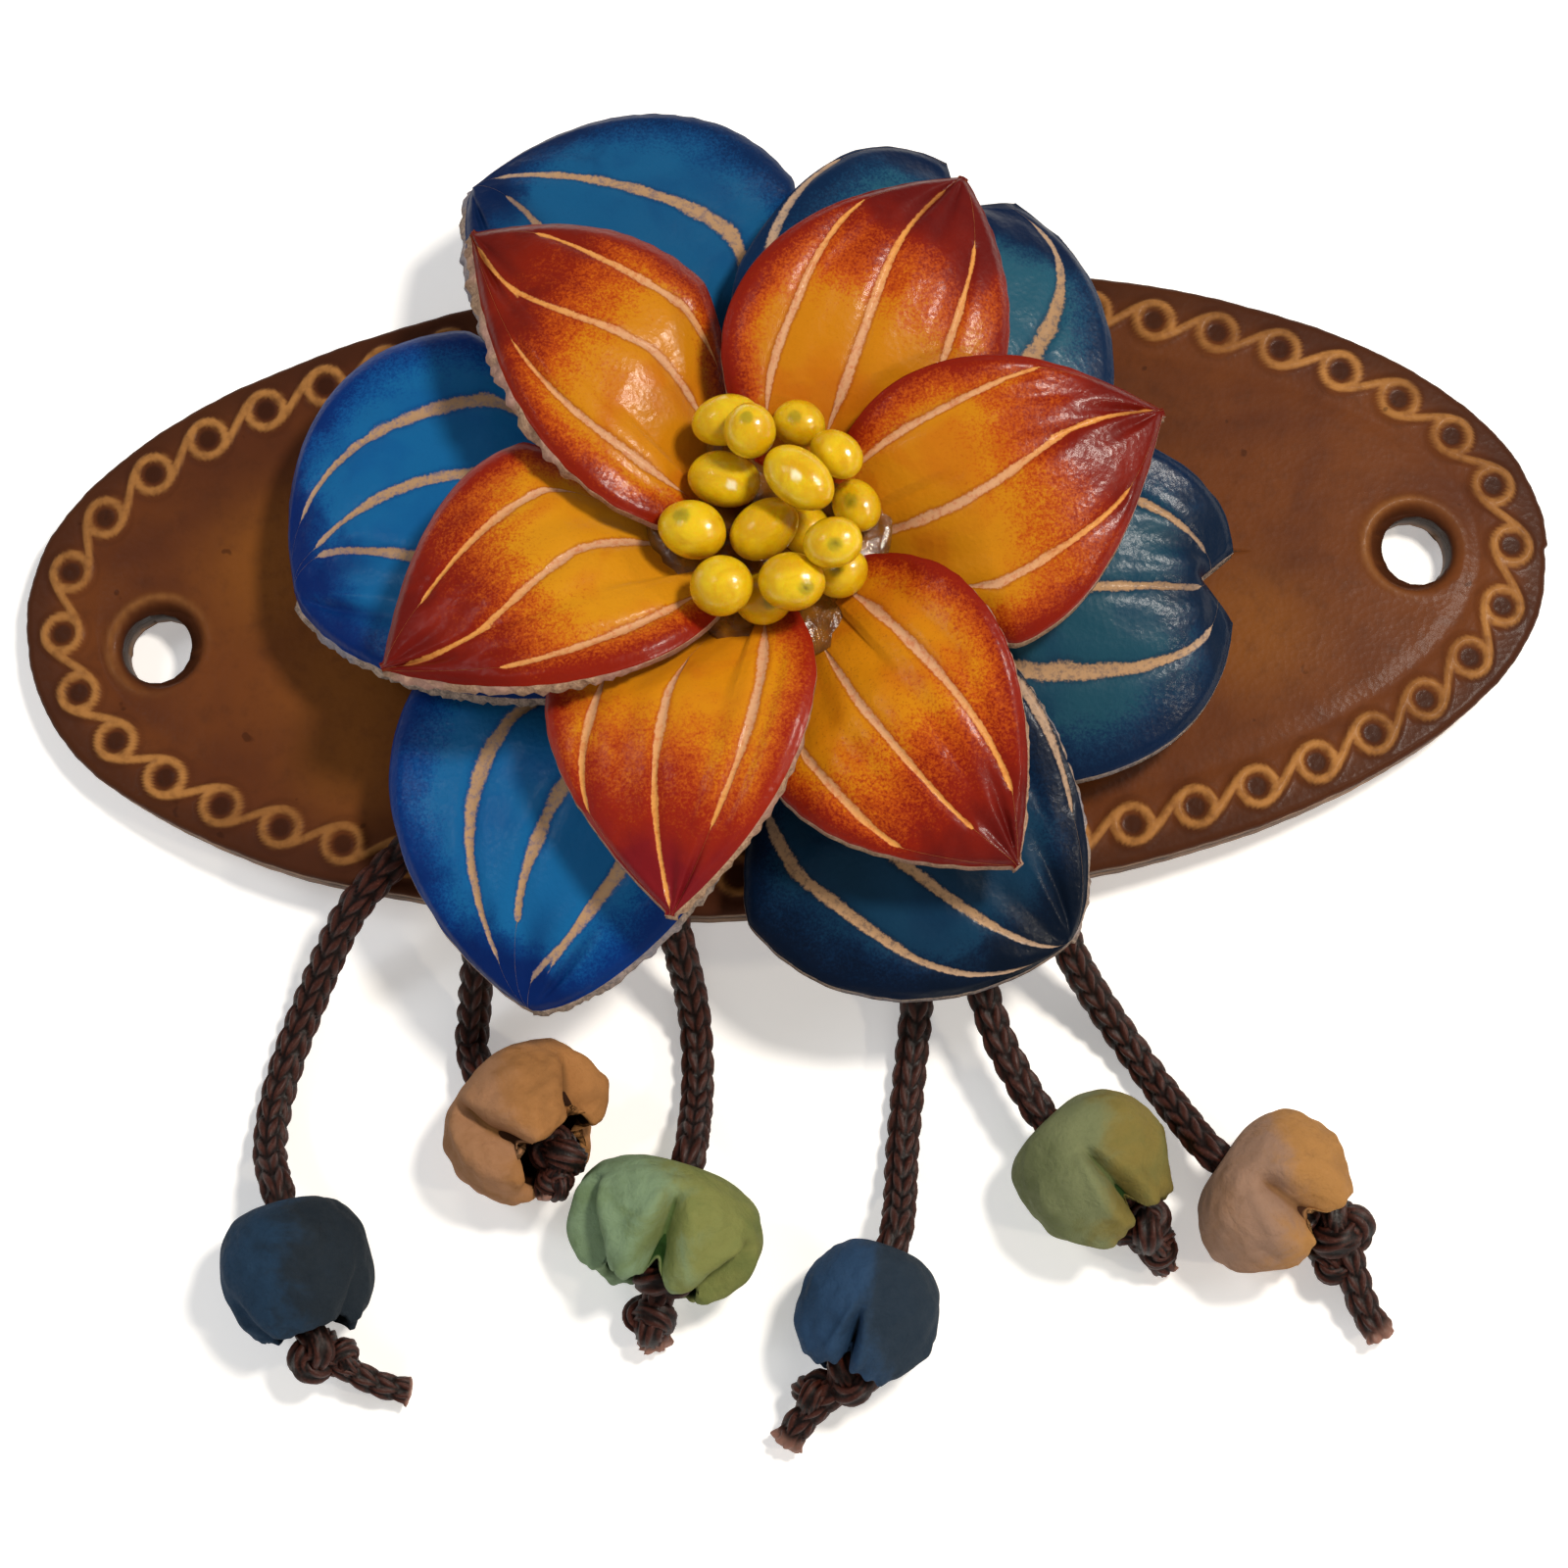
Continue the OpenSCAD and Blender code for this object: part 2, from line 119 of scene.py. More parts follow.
def waves(p, size, seed, count=7):
    """A smooth random field over points, about -1 to 1, with features of about that size."""
    rng = np.random.default_rng(seed)
    p = np.asarray(p, float)
    total = np.zeros(p.shape[:-1])
    for _ in range(count):
        k = rng.normal(size=p.shape[-1])
        k *= 2 * np.pi / size * rng.uniform(0.5, 1.4) / np.linalg.norm(k)
        total += np.sin(p @ k + rng.uniform(0, 2 * np.pi))
    return total / math.sqrt(count) / 1.2


def circle(count):
    return np.linspace(0, 2 * np.pi, count, endpoint=False)


def unit(v):
    return v / np.maximum(np.linalg.norm(v, axis=-1, keepdims=True), 1e-9)


def run_along(line):
    """The length run along a line at each of its points."""
    return np.concatenate([[0], np.cumsum(np.linalg.norm(np.diff(line, axis=0), axis=1))])


def linear(code):
    """A hex colour as linear RGBA."""
    c = [int(code[i : i + 2], 16) / 255 for i in (1, 3, 5)]
    return tuple((v / 12.92 if v <= 0.04045 else ((v + 0.055) / 1.055) ** 2.4) for v in c) + (1.0,)


def ring_faces(rows, cols):
    """The faces between rings of points, from each ring to the next."""
    i, j = np.meshgrid(np.arange(rows - 1), np.arange(cols), indexing="ij")
    a = i * cols + j
    b = i * cols + (j + 1) % cols
    return np.stack([a + cols, b + cols, b, a], -1).reshape(-1, 4)


def closed_faces(rows, cols):
    """The same, with the first and the last ring closed by a face each."""
    ends = [list(range(cols)), list(range((rows - 1) * cols, rows * cols))[::-1]]
    return ring_faces(rows, cols).tolist() + ends


def build(name, points, faces, materials, slots=None, marks=None):
    """A mesh object from points in millimetres. marks are float attributes on its points."""
    mesh = bpy.data.meshes.new(name)
    points = np.asarray(points, float)
    mesh.vertices.add(len(points))
    mesh.vertices.foreach_set("co", (points * MM).ravel())
    sizes = np.array([len(f) for f in faces])
    flat = faces.ravel() if isinstance(faces, np.ndarray) else np.concatenate([np.asarray(f) for f in faces])
    mesh.loops.add(len(flat))
    mesh.loops.foreach_set("vertex_index", flat.astype(np.int32))
    mesh.polygons.add(len(sizes))
    mesh.polygons.foreach_set("loop_start", (np.cumsum(sizes) - sizes).astype(np.int32))
    mesh.update(calc_edges=True)
    mesh.polygons.foreach_set("use_smooth", np.ones(len(sizes), bool))
    for m in materials:
        mesh.materials.append(m)
    if slots is not None:
        mesh.polygons.foreach_set("material_index", np.asarray(slots, np.int32))
    for key, values in (marks or {}).items():
        values = np.asarray(values, np.float32)
        kind, field = ("FLOAT_VECTOR", "vector") if values.shape == (len(points), 3) else ("FLOAT", "value")
        mesh.attributes.new(key, kind, "POINT").data.foreach_set(field, values.ravel())
    mesh.validate()
    return put_in_scene(name, mesh)


def own(obj, slot, *nodes):
    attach(obj, "root")
    if nodes:
        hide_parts(*nodes)
    return obj


# Places of the colour sockets among a Mix node's sockets.
MIX_A, MIX_B, MIX_RESULT = 6, 7, 2


class Shader:
    """A material's node tree, built from the surface backwards."""

    def __init__(self, name, **surface):
        self.material = bpy.data.materials.new(name)
        self.material.use_nodes = True
        self.tree = self.material.node_tree
        self.bsdf = self.tree.nodes["Principled BSDF"]
        for key, value in surface.items():
            self.put(self.bsdf, key.replace("_", " "), value)
        self.place = self.tree.nodes.new("ShaderNodeTexCoord").outputs["Object"]

    def put(self, node, key, value):
        socket = node.inputs[key]
        if isinstance(value, bpy.types.NodeSocket):
            self.tree.links.new(value, socket)
        else:
            socket.default_value = value

    def add(self, kind, values=None, **settings):
        node = self.tree.nodes.new("ShaderNode" + kind)
        for key, value in settings.items():
            setattr(node, key, value)
        for key, value in (values or {}).items():
            self.put(node, key, value)
        return node

    def mark(self, name):
        return self.add("Attribute", attribute_name=name).outputs["Fac"]

    def nearest(self, name):
        """The least of a vector mark's three distances."""
        distances = self.add("Attribute", attribute_name=name).outputs["Vector"]
        parts = self.add("SeparateXYZ", {"Vector": distances})
        x, y, z = (self.math("ABSOLUTE", parts.outputs[k]) for k in range(3))
        return self.math("MINIMUM", self.math("MINIMUM", x, y), z)

    def noise(self, size, detail=4.0, roughness=0.55, distortion=0.0, place=None):
        """Noise with features of about that size in millimetres."""
        node = self.add("TexNoise", {
            "Vector": place or self.place, "Scale": MM_PER_M / size, "Detail": detail,
            "Roughness": roughness, "Distortion": distortion})
        return node.outputs["Fac"]

    def cells(self, size):
        """Rounded cells of about that size in millimetres, as in leather grain."""
        return self.add("TexVoronoi", {"Vector": self.place, "Scale": MM_PER_M / size}).outputs["Distance"]

    def math(self, kind, a, b=0.0):
        return self.add("Math", {0: a, 1: b}, operation=kind).outputs[0]

    def span(self, value, lo, hi, out_lo=0.0, out_hi=1.0):
        """The value's range from lo to hi, eased onto another range."""
        node = self.add("MapRange", {
            "Value": value, "From Min": lo, "From Max": hi, "To Min": out_lo, "To Max": out_hi},
            interpolation_type="SMOOTHSTEP")
        return node.outputs["Result"]

    def mix(self, share, a, b):
        """Two colours, each a hex code or a socket. A share of 1 gives the second."""
        a, b = (linear(v) if isinstance(v, str) else v for v in (a, b))
        return self.add("Mix", {0: share, MIX_A: a, MIX_B: b}, data_type="RGBA").outputs[MIX_RESULT]

    def stir(self, value, noise, most):
        """The value, moved up and down by the noise."""
        return self.math("ADD", value, self.span(noise, 0.3, 0.7, -most, most))

    def tint(self, colour, name, share, other):
        """A colour with another over it, as strong as a mark and at most that share."""
        return self.mix(self.span(self.mark(name), 0, 1, 0, share), colour, other)

    def colour(self, value):
        self.put(self.bsdf, "Base Color", value)

    def rough(self, value):
        self.put(self.bsdf, "Roughness", value)

    def bumps(self, *layers):
        """Layers of (height, depth in millimetres), the last on top."""
        normal = None
        for height, depth in layers:
            node = self.add("Bump", {"Height": height, "Strength": 1.0, "Distance": depth * MM})
            if normal is not None:
                self.put(node, "Normal", normal)
            normal = node.outputs["Normal"]
        self.put(self.bsdf, "Normal", normal)
        self.put(self.bsdf, "Coat Normal", normal)


def plate_leather():
    s = Shader("slide_leather", Specular_IOR_Level=0.04, Coat_Weight=0.022, Coat_Roughness=0.16)
    blot = s.noise(16, 3, 0.6, 0.4)
    fine = s.noise(1.6, 5, 0.65)
    c = s.mix(s.span(blot, 0.38, 0.64), "#532C1A", "#66381C")
    # Painted light: lighter amber clouds where the plate is shown lit.
    c = s.tint(c, "lit_patch", 0.6, "#85501F")
    c = s.mix(s.span(fine, 0.45, 0.75, 0, 0.28), c, "#3F2418")
    c = s.tint(c, "rim", 0.75, "#3E2216")
    # Painted shade in the rings' pits and round and down the holes, over the darker ground round the rings.
    c = s.tint(c, "dark", 0.75, "#2A150E")
    worn = s.span(s.noise(0.9, 4), 0.25, 0.6, 0.55, 1.0)
    patch = s.span(s.noise(14, 2), 0.35, 0.6, 0.55, 1.0)
    # The lighter colour of the stamped lines; round the holes it is a painted highlight on their lips.
    line = s.math("MULTIPLY", s.math("MULTIPLY", s.mark("line"), worn), patch)
    c = s.mix(line, c, "#A8743F")
    speck = s.math("MULTIPLY", s.span(s.noise(2.3, 2, 0.5), 0.72, 0.76), 0.5)
    c = s.mix(speck, c, "#2C160D")
    s.colour(c)
    s.rough(s.span(s.noise(4, 4), 0.3, 0.7, 0.36, 0.48))
    s.bumps((s.noise(3.2, 3, 0.5), 0.05), (s.cells(0.55), 0.018), (s.noise(0.35, 4, 0.7), 0.012))
    return s.material


def plate_side():
    s = Shader("slide_edge", Specular_IOR_Level=0.35)
    flattened = s.add("Mapping", {"Vector": s.place, "Scale": (0.25, 0.25, 1.6)}).outputs["Vector"]
    layers = s.noise(0.8, 4, 0.7, 0.2, flattened)
    c = s.mix(s.span(layers, 0.35, 0.65), "#3F2616", "#8A6544")
    c = s.tint(c, "seam", 0.8, "#1D100A")
    # Painted shade down the holes' walls.
    c = s.mix(s.mark("dark"), c, "#24140C")
    s.colour(c)
    s.rough(0.6)
    s.bumps((layers, 0.12), (s.noise(0.3, 4, 0.7), 0.05))
    return s.material


def suede(name, light, dark, pink):
    """Raw cut leather: pale, fibrous and dull."""
    s = Shader(name, Specular_IOR_Level=0.15)
    fibre = s.noise(0.45, 6, 0.75, 0.6)
    c = s.mix(s.span(fibre, 0.35, 0.65), dark, light)
    c = s.mix(s.span(s.noise(5, 3), 0.45, 0.65, 0, 0.6), c, pink)
    s.colour(c)
    s.rough(0.92)
    s.bumps((s.noise(1.1, 5, 0.7, 0.5), 0.22), (fibre, 0.12))
    return s.material


def petal_leather(name, heart, body, rim, tip, vein, vein_base, gloss, coat, speckle):
    """Dyed and glazed leather: a light heart, darker rim and tip, and pale carved veins."""
    s = Shader(name, Specular_IOR_Level=0.1, Coat_Weight=coat, Coat_Roughness=0.15)
    cloud = s.noise(5.5, 3, 0.5, 0.5)
    fine = s.noise(0.22, 3, 0.7)
    streak = s.noise(0.9, 4, 0.65, 0.8)
    share = s.stir(s.stir(s.stir(s.mark("rim"), cloud, 0.1), streak, 0.06), fine, 0.15)
    c = s.mix(s.span(cloud, 0.42, 0.7, 0, 0.4), heart, body)
    c = s.mix(s.span(share, 0.2, 0.58), c, body)
    c = s.mix(s.span(share, 0.44, 0.86), c, rim)
    c = s.mix(s.span(s.stir(s.mark("tip"), cloud, 0.22), 0.3, 0.95, 0, 0.9), c, tip)
    c = s.mix(s.math("MULTIPLY", s.span(fine, 0.55, 0.7), speckle), c, tip)
    ragged = s.stir(s.nearest("veins"), s.noise(0.35, 4, 0.7), 0.2)
    cut = s.span(ragged, 0.7, 1.2, 1.0, 0.0)
    shade = s.mix(s.span(s.mark("rim"), 0.1, 0.9), vein_base, vein)
    shade = s.mix(s.span(s.noise(0.5, 4, 0.7), 0.45, 0.7, 0, 0.5), shade, body)
    # Painted shade: the leather beside each vein darkens towards the rim's dye, as the shade of the carved
    # slit.
    c = s.mix(s.span(ragged, 0.95, 1.9, 0.45, 0.0), c, rim)
    c = s.mix(cut, c, shade)
    # Painted shade in the folds at the tip.
    c = s.tint(c, "fold_shade", 0.7, tip)
    s.colour(c)
    dull = s.math("MULTIPLY", cut, 0.3)
    s.rough(s.math("ADD", s.span(s.noise(3, 4), 0.3, 0.7, gloss, gloss + 0.1), dull))
    groove = s.span(s.nearest("veins"), 0.2, 1.3)
    wrinkle = s.noise(1.1, 5, 0.6, 1.1)
    s.bumps((groove, 0.07), (wrinkle, 0.035), (s.cells(0.5), 0.022), (s.noise(0.28, 3, 0.7), 0.012))
    return s.material


def pearl_glaze():
    s = Shader("pearl_yellow", Specular_IOR_Level=0.4, Coat_Weight=0.5, Coat_Roughness=0.1,
               Subsurface_Weight=0.25, Subsurface_Scale=0.0015)
    cloud = s.noise(2.4, 4, 0.6, 0.6)
    c = s.mix(s.span(cloud, 0.3, 0.7), "#CF9F06", "#E2C016")
    c = s.tint(c, "spot", 0.75, "#8C8418")
    c = s.mix(s.mark("pin"), c, "#5A4A10")
    # A painted highlight: a pale dot near the top of some heads.
    c = s.tint(c, "pale", 0.9, "#F4EFC8")
    s.colour(c)
    s.rough(s.span(s.noise(1.2, 4), 0.3, 0.7, 0.2, 0.34))
    s.bumps((s.noise(0.8, 4, 0.6), 0.05), (s.noise(0.22, 3, 0.7), 0.012))
    return s.material


def cord_leather():
    s = Shader("cord_braid", Specular_IOR_Level=0.3)
    fibre = s.noise(0.28, 5, 0.7, 0.4)
    # Painted light: the valleys between the stitches are near black as their shade, and the stitches' tops
    # lighter, with paler fibres on them.
    c = s.mix(s.span(s.mark("high"), 0.2, 0.85), "#0A0302", "#3B1B13")
    c = s.mix(s.math("MULTIPLY", s.span(fibre, 0.5, 0.72, 0, 0.6), s.mark("high")), c, "#6E3F34")
    c = s.mix(s.span(s.noise(6, 3), 0.4, 0.65, 0, 0.25), c, "#28120C")
    c = s.mix(s.mark("frayed"), c, "#A87C6C")
    s.colour(c)
    s.rough(s.span(fibre, 0.3, 0.7, 0.42, 0.62))
    s.bumps((s.noise(0.5, 4, 0.6), 0.05), (fibre, 0.03))
    return s.material


def bead_leather(name, body, second, shade, inner, share):
    """Matte nubuck of a bud bead. The second colour tints its side towards +x as painted light from the warm
    lamps on the right.
    """
    s = Shader(name, Specular_IOR_Level=0.1)
    cloud = s.noise(4.5, 4, 0.6, 0.5)
    fine = s.noise(0.5, 5, 0.7)
    # Painted light: the side towards +x takes the second colour.
    side = s.stir(s.mark("side"), cloud, 0.25)
    c = s.mix(s.span(side, 0.2, 0.8, 0, share), body, second)
    c = s.mix(s.span(cloud, 0.42, 0.7, 0, 0.45), c, shade)
    c = s.mix(s.span(fine, 0.5, 0.72, 0, 0.22), c, shade)
    # Painted shade in the slits and inside the mouth.
    c = s.mix(s.span(s.mark("slit"), 0.3, 0.95), c, shade)
    c = s.mix(s.span(s.mark("inner"), 0.2, 0.8), c, inner)
    s.colour(c)
    s.rough(s.span(fine, 0.3, 0.7, 0.72, 0.9))
    s.bumps((s.noise(2.4, 4, 0.6, 0.6), 0.25), (s.noise(0.9, 5, 0.7, 0.8), 0.11), (fine, 0.06))
    return s.material


def clear_glue():
    s = Shader("clear_glue", Specular_IOR_Level=0.5, Transmission_Weight=0.55, IOR=1.45, Roughness=0.12)
    s.colour(s.mix(s.span(s.noise(1.5, 3), 0.3, 0.7), "#7A4A16", "#A86E22"))
    s.bumps((s.noise(0.8, 4, 0.6), 0.1))
    return s.material


SLIDE = plate_leather()
SLIDE_SIDE = plate_side()
SUEDE_TAN = suede("suede_tan", "#C3A184", "#8E6E58", "#B88C84")
SUEDE_BLUE = suede("suede_grey", "#B9A290", "#746760", "#8C8FA0")
CORD = cord_leather()
GLUE = clear_glue()
PEARL = pearl_glaze()


# The plate: a sheet of leather on an arch, with its stamped border, holes and edge.
def oval_point(inset, angle):
    """Points of the outline moved in by inset, at angles in degrees."""
    turn = np.mod(angle, 360)
    share = 2 / OVAL_POWERS[np.minimum((turn // 90).astype(int), 3)]
    up = turn < 180
    half = np.where(up, HALF_UP - inset, HALF_DOWN - inset - (HALF_DOWN - HALF_UP) * (inset / HALF_UP) ** 3)
    c = np.cos(np.radians(turn))
    s = np.sin(np.radians(turn))
    x = (PLATE_LENGTH / 2 - inset) * np.sign(c) * np.abs(c) ** share
    y = PLATE_Y + half * np.sign(s) * np.abs(s) ** share
    return np.stack([x, y], -1)


def border_places():
    """The ring centres, and a table of running length against angle."""
    angle = np.linspace(0, 360, 7201)
    line = oval_point(np.full(angle.shape, RING_INSET), angle)
    run = run_along(line)
    centres = oval_point(np.full(RING_COUNT, RING_INSET), np.interp(
        np.arange(RING_COUNT) * run[-1] / RING_COUNT, run, angle))
    return centres, run, angle


def stroke_line():
    """The stroke from the outer side of one ring to the inner side of the next."""
    t = np.linspace(0, 1, STROKE_STEPS + 1)
    return np.stack([STROKE_GAP * t, RING_R * (2 * smooth(t) - 1)], -1)


def distance_to_line(p, line):
    best = np.full(p.shape[:-1], 1e9)
    for a, b in zip(line[:-1], line[1:]):
        d = b - a
        t = np.clip(((p - a) @ d) / (d @ d), 0, 1)
        best = np.minimum(best, np.linalg.norm(p - a - t[..., None] * d, axis=-1))
    return best


def border_relief(p, unit_at):
    """Height of the stamped border over the leather, and shares of line and of darkening: the darker ground
    round the rings, and painted shade in their pits.
    """
    high = np.zeros(p.shape[:-1])
    line = np.zeros(p.shape[:-1])
    dark = np.zeros(p.shape[:-1])
    for k in (-2, -1, 0, 1, 2):
        here = CENTRES[(unit_at + k) % RING_COUNT]
        step = CENTRES[(unit_at + k + 1) % RING_COUNT] - here
        gap = np.linalg.norm(step, axis=-1)
        ahead = step / gap[..., None]
        off = p - here
        along = (off * ahead).sum(-1) * (STROKE_GAP / gap)
        across = off[..., 1] * ahead[..., 0] - off[..., 0] * ahead[..., 1]
        d = np.linalg.norm(off, axis=-1)
        ring = bell(d - RING_R, RING_WIDTH)
        bar = bell(distance_to_line(np.stack([along, across], -1), STROKE), STROKE_WIDTH)
        top = np.maximum(ring, bar)
        high = np.maximum(high, top)
        line = np.maximum(line, smooth(top, 0.3, 0.75))
        # The pits are painted dark as the shade of their walls; the ground round each ring is darker leather.
        pit = smooth(-d, -PIT_R, -PIT_FLOOR_R)
        ground = 0.3 * smooth(-np.abs(d - GROUND_R), -0.4, 0) * (1 - top)
        dark = np.maximum(dark, np.maximum(0.9 * pit, ground))
        high = high - 0.9 * pit * (1 - bell(d, 0.3) * 0.35)
    return high, line, dark


CENTRES, RUN, RUN_ANGLE = border_places()
STROKE = stroke_line()

# The plate's rows, from its edge inwards. Each edge row has its inset and its depth below the face.
# The rows of the border's band and of the field have insets only.
EDGE_ROWS = np.array([
    (0.0, 2.9), (0.05, 2.2), (0.16, 1.78), (0.24, 1.7), (0.16, 1.62), (0.04, 1.2), (0.0, 0.75),
    (0.06, 0.42), (0.2, 0.2), (0.42, 0.06), (0.7, 0.0)])
BAND_ROWS = np.arange(0.95, 6.3, 0.2)
FIELD_ROWS = np.append(np.arange(6.6, 17, 0.62), [18.2, 19.6, 21, 22.4, 23.8, 25.2, 26.3])
INSETS = np.concatenate([EDGE_ROWS[:, 0], BAND_ROWS, FIELD_ROWS])
DEPTHS = np.concatenate([EDGE_ROWS[:, 1], np.zeros(len(BAND_ROWS) + len(FIELD_ROWS))])
# The seam of the two leathers, and the last row that shows the cut edge.
SEAM_ROWS = slice(2, 5)
SIDE_ROWS = 7
# The lower face keeps the first and last row of the edge, two of the band and all of the field.
N_EDGE = len(EDGE_ROWS)
LOW_ROWS = np.append([0, N_EDGE - 1, N_EDGE + 8, N_EDGE + 18],
                     np.arange(N_EDGE + len(BAND_ROWS), len(INSETS)))
LOW_EDGE_LIFT = 0.35
PER_RING = 20
COLS = RING_COUNT * PER_RING
# Lighter clouds of painted light, pools of light and sheen painted into the leather: x, y and size.
LIT_PATCHES = [(-34, -8, 9), (-42, 3, 7), (-30, 8, 8), (38, -7, 6), (-36, -14, 6)]
# Round a stick hole the grid's points within the cut go, and those within the reach move outwards.
HOLE_CUT = 1.5
HOLE_REACH = 6
HOLE_RIM = 1.0


def on_arch(p, lift):
    """Points of the plan, bent onto the arch and lifted off the plate's face."""
    tilt = p[..., 0] / (ARCH_R + PLATE_THICK)
    r = ARCH_R + PLATE_THICK + lift
    return np.stack([r * tilt, p[..., 1], ARCH_Z + r * np.sqrt(1 - tilt**2)], -1)


def open_holes(p, relief, line, dark):
    """Opens the stick holes in the grid and rounds their rims. Returns which points stay."""
    keep = np.ones(relief.shape, bool)
    for x, y in HOLES:
        off = p - np.array([x, y])
        d = np.linalg.norm(off, axis=-1)
        keep &= d >= HOLE_CUT
        near = (d < HOLE_REACH) & (d >= HOLE_CUT)
        share = np.clip(d - HOLE_CUT, 0, 9) / (HOLE_REACH - HOLE_CUT)
        moved = HOLE_R + (HOLE_REACH - HOLE_R) * share**1.25
        p[near] = np.array([x, y]) + off[near] / d[near][:, None] * moved[near][:, None]
        moved = np.where(near, moved, np.inf)
        rim = 1 - smooth(moved, HOLE_R, HOLE_R + HOLE_RIM)
        lip_side = 0.5 - 0.5 * (off[..., 0] - off[..., 1]) / np.maximum(d, 1) / 1.42
        relief -= HOLE_RIM * rim
        relief += 0.16 * bell(moved - HOLE_R - 1.25, 0.4) * (0.2 + 0.8 * lip_side)
        # A painted highlight: a pale crescent on the upper-left side of the lip.
        line[:] = np.maximum(line, 0.45 * bell(moved - HOLE_R - 1.2, 0.35) * lip_side)
        # Painted shade on the hole's rounded rim.
        dark[:] = np.maximum(dark, rim)
    return keep


def hole_walls(points, faces, below):
    """Joins the open loops of the two faces, with a row of new points halfway down.

    below gives the lower face's point under each point of the upper face, or -1 where there is none
    and at the plate's outer edge.
    """
    sides = np.sort(np.concatenate([faces[:, [m, (m + 1) % 4]] for m in range(4)]), axis=1)
    pairs, count = np.unique(sides, axis=0, return_counts=True)
    open_sides = set(map(tuple, pairs[count == 1].tolist()))
    middle = {}
    walls = []
    for quad in faces.tolist():
        for a, b in zip(quad, quad[1:] + quad[:1]):
            if (min(a, b), max(a, b)) in open_sides and min(below[a], below[b]) >= 0:
                for v in (a, b):
                    middle.setdefault(v, len(points) + len(middle))
                walls += [[b, a, middle[a], middle[b]], [middle[b], middle[a], below[a], below[b]]]
    extra = [points[v] * 0.5 + points[below[v]] * 0.5 for v in middle]
    points = np.concatenate([points, np.array(extra)])
    # The loops' points move sideways onto the round walls.
    for v in np.unique(walls):
        for x, y in HOLES:
            if abs(points[v, 0] - x) < HOLE_REACH:
                q = points[v] - np.array([x, y, face_z(x) - PLATE_THICK])
                q -= np.array([x / ARCH_R, 0, 1]) * q[2]
                d = math.hypot(q[0], q[1])
                points[v, :2] += (q / d * (HOLE_R - d))[:2]
    return points, np.array(walls)


def plate_plan():
    """The plate's grid in plan, its relief, its waver at the edge, the points that stay, and its marks."""
    angle = np.interp((np.arange(COLS) + 0.5) * RUN[-1] / COLS, RUN, RUN_ANGLE)
    t, a = np.meshgrid(INSETS, angle, indexing="ij")
    p = oval_point(t, a)
    high, line, dark = border_relief(p, np.broadcast_to(np.arange(COLS) // PER_RING, t.shape))
    rise = RELIEF * high * (0.82 + 0.18 * waves(p, 18, 3))
    # The slight swell of hand-cut leather, and a shallow trough inside the band.
    relief = 0.06 * waves(p, 30, 11) * smooth(t, 0, 5)
    relief -= 0.12 * bell(t - 6.3, 0.8)
    sway = 0.16 * waves(np.stack([a / 4, t * 0], -1), 6, 5)
    sway = (sway + 0.05 * waves(np.stack([a, t * 0], -1), 2.2, 6)) * (1 - smooth(t, 0, 1.6))
    seam = np.zeros(t.shape)
    seam[SEAM_ROWS] = 1
    # Painted light: lighter clouds round the listed places.
    lit_patch = np.max([bell(np.hypot(p[..., 0] - x, p[..., 1] - y), r) for x, y, r in LIT_PATCHES], axis=0)
    keep = open_holes(p, relief, line, dark)
    # Each mark with its value on the lower face and on the middle row of the holes' walls. The dark mark is
    # painted shade in the ring pits, on the holes' rims and down their walls, over the darker ground round
    # the rings.
    marks = {
        "line": (line * (t > 0.6), 0, 0), "dark": (np.clip(dark, 0, 1), 0, 0.9),
        "rim": (1 - smooth(t, 0.3, 4.6), 1, 0.5), "lit_patch": (lit_patch, 0, 0), "seam": (seam, 0, 0)}
    return p, rise + relief, sway, keep, marks


def make_plate():
    p, relief, sway, keep, marks = plate_plan()
    sway = unit(p - np.array([0, PLATE_Y])) * sway[..., None]
    top = on_arch(p, relief - DEPTHS[:, None])
    top[..., :2] += sway
    low_lift = np.full(relief.shape, -PLATE_THICK)
    low_lift[0] += LOW_EDGE_LIFT
    low = on_arch(p, low_lift)[LOW_ROWS]
    low[0, :, :2] += sway[0]
    # The rows run outwards on the lower face, then over the edge and inwards on the upper face.
    points = np.concatenate([low[::-1], top]).reshape(-1, 3)
    keep = np.concatenate([keep[LOW_ROWS[::-1]], keep]).ravel()
    faces = ring_faces(len(LOW_ROWS) + len(INSETS), COLS)[:, ::-1]
    faces = faces[keep[faces].all(1)]
    n_low = len(LOW_ROWS) * COLS
    below = np.full(len(points), -1)
    inner_rows = LOW_ROWS[:0:-1]
    above = n_low + inner_rows[:, None] * COLS + np.arange(COLS)
    below[above.ravel()] = np.arange(above.size)
    points, walls = hole_walls(points, faces[faces.min(1) >= n_low], below.tolist())
    on_side = faces.max(1) // COLS <= len(LOW_ROWS) + SIDE_ROWS
    slots = np.append(on_side, np.ones(len(walls), bool))
    marks = {
        key: np.concatenate([np.full(n_low, lower), upper.ravel(), np.full(len(points) - len(below), middle)])
        for key, (upper, lower, middle) in marks.items()}
    obj = build("slide", points, np.concatenate([faces, walls]), [SLIDE, SLIDE_SIDE], slots, marks)
    return own(obj, "slide_leather", "base_plate")


make_plate()


# Petals: the solids' surface with finer veins, puffed fields, a pinched tip and a raw cut edge.
RINGS = {
    "inner": dict(base=12.9, rise=5.0, reach=27, crown=3.8, under=0.75, over=0.12, widest=0.42,
                  base_over=2.4, base_under=1.3, dip=0.0),
    "outer": dict(base=7.2, rise=1.5, reach=20, crown=3.2, under=1.0, over=0.15, widest=0.48,
                  base_over=1.7, base_under=1.3, dip=1.5),
}
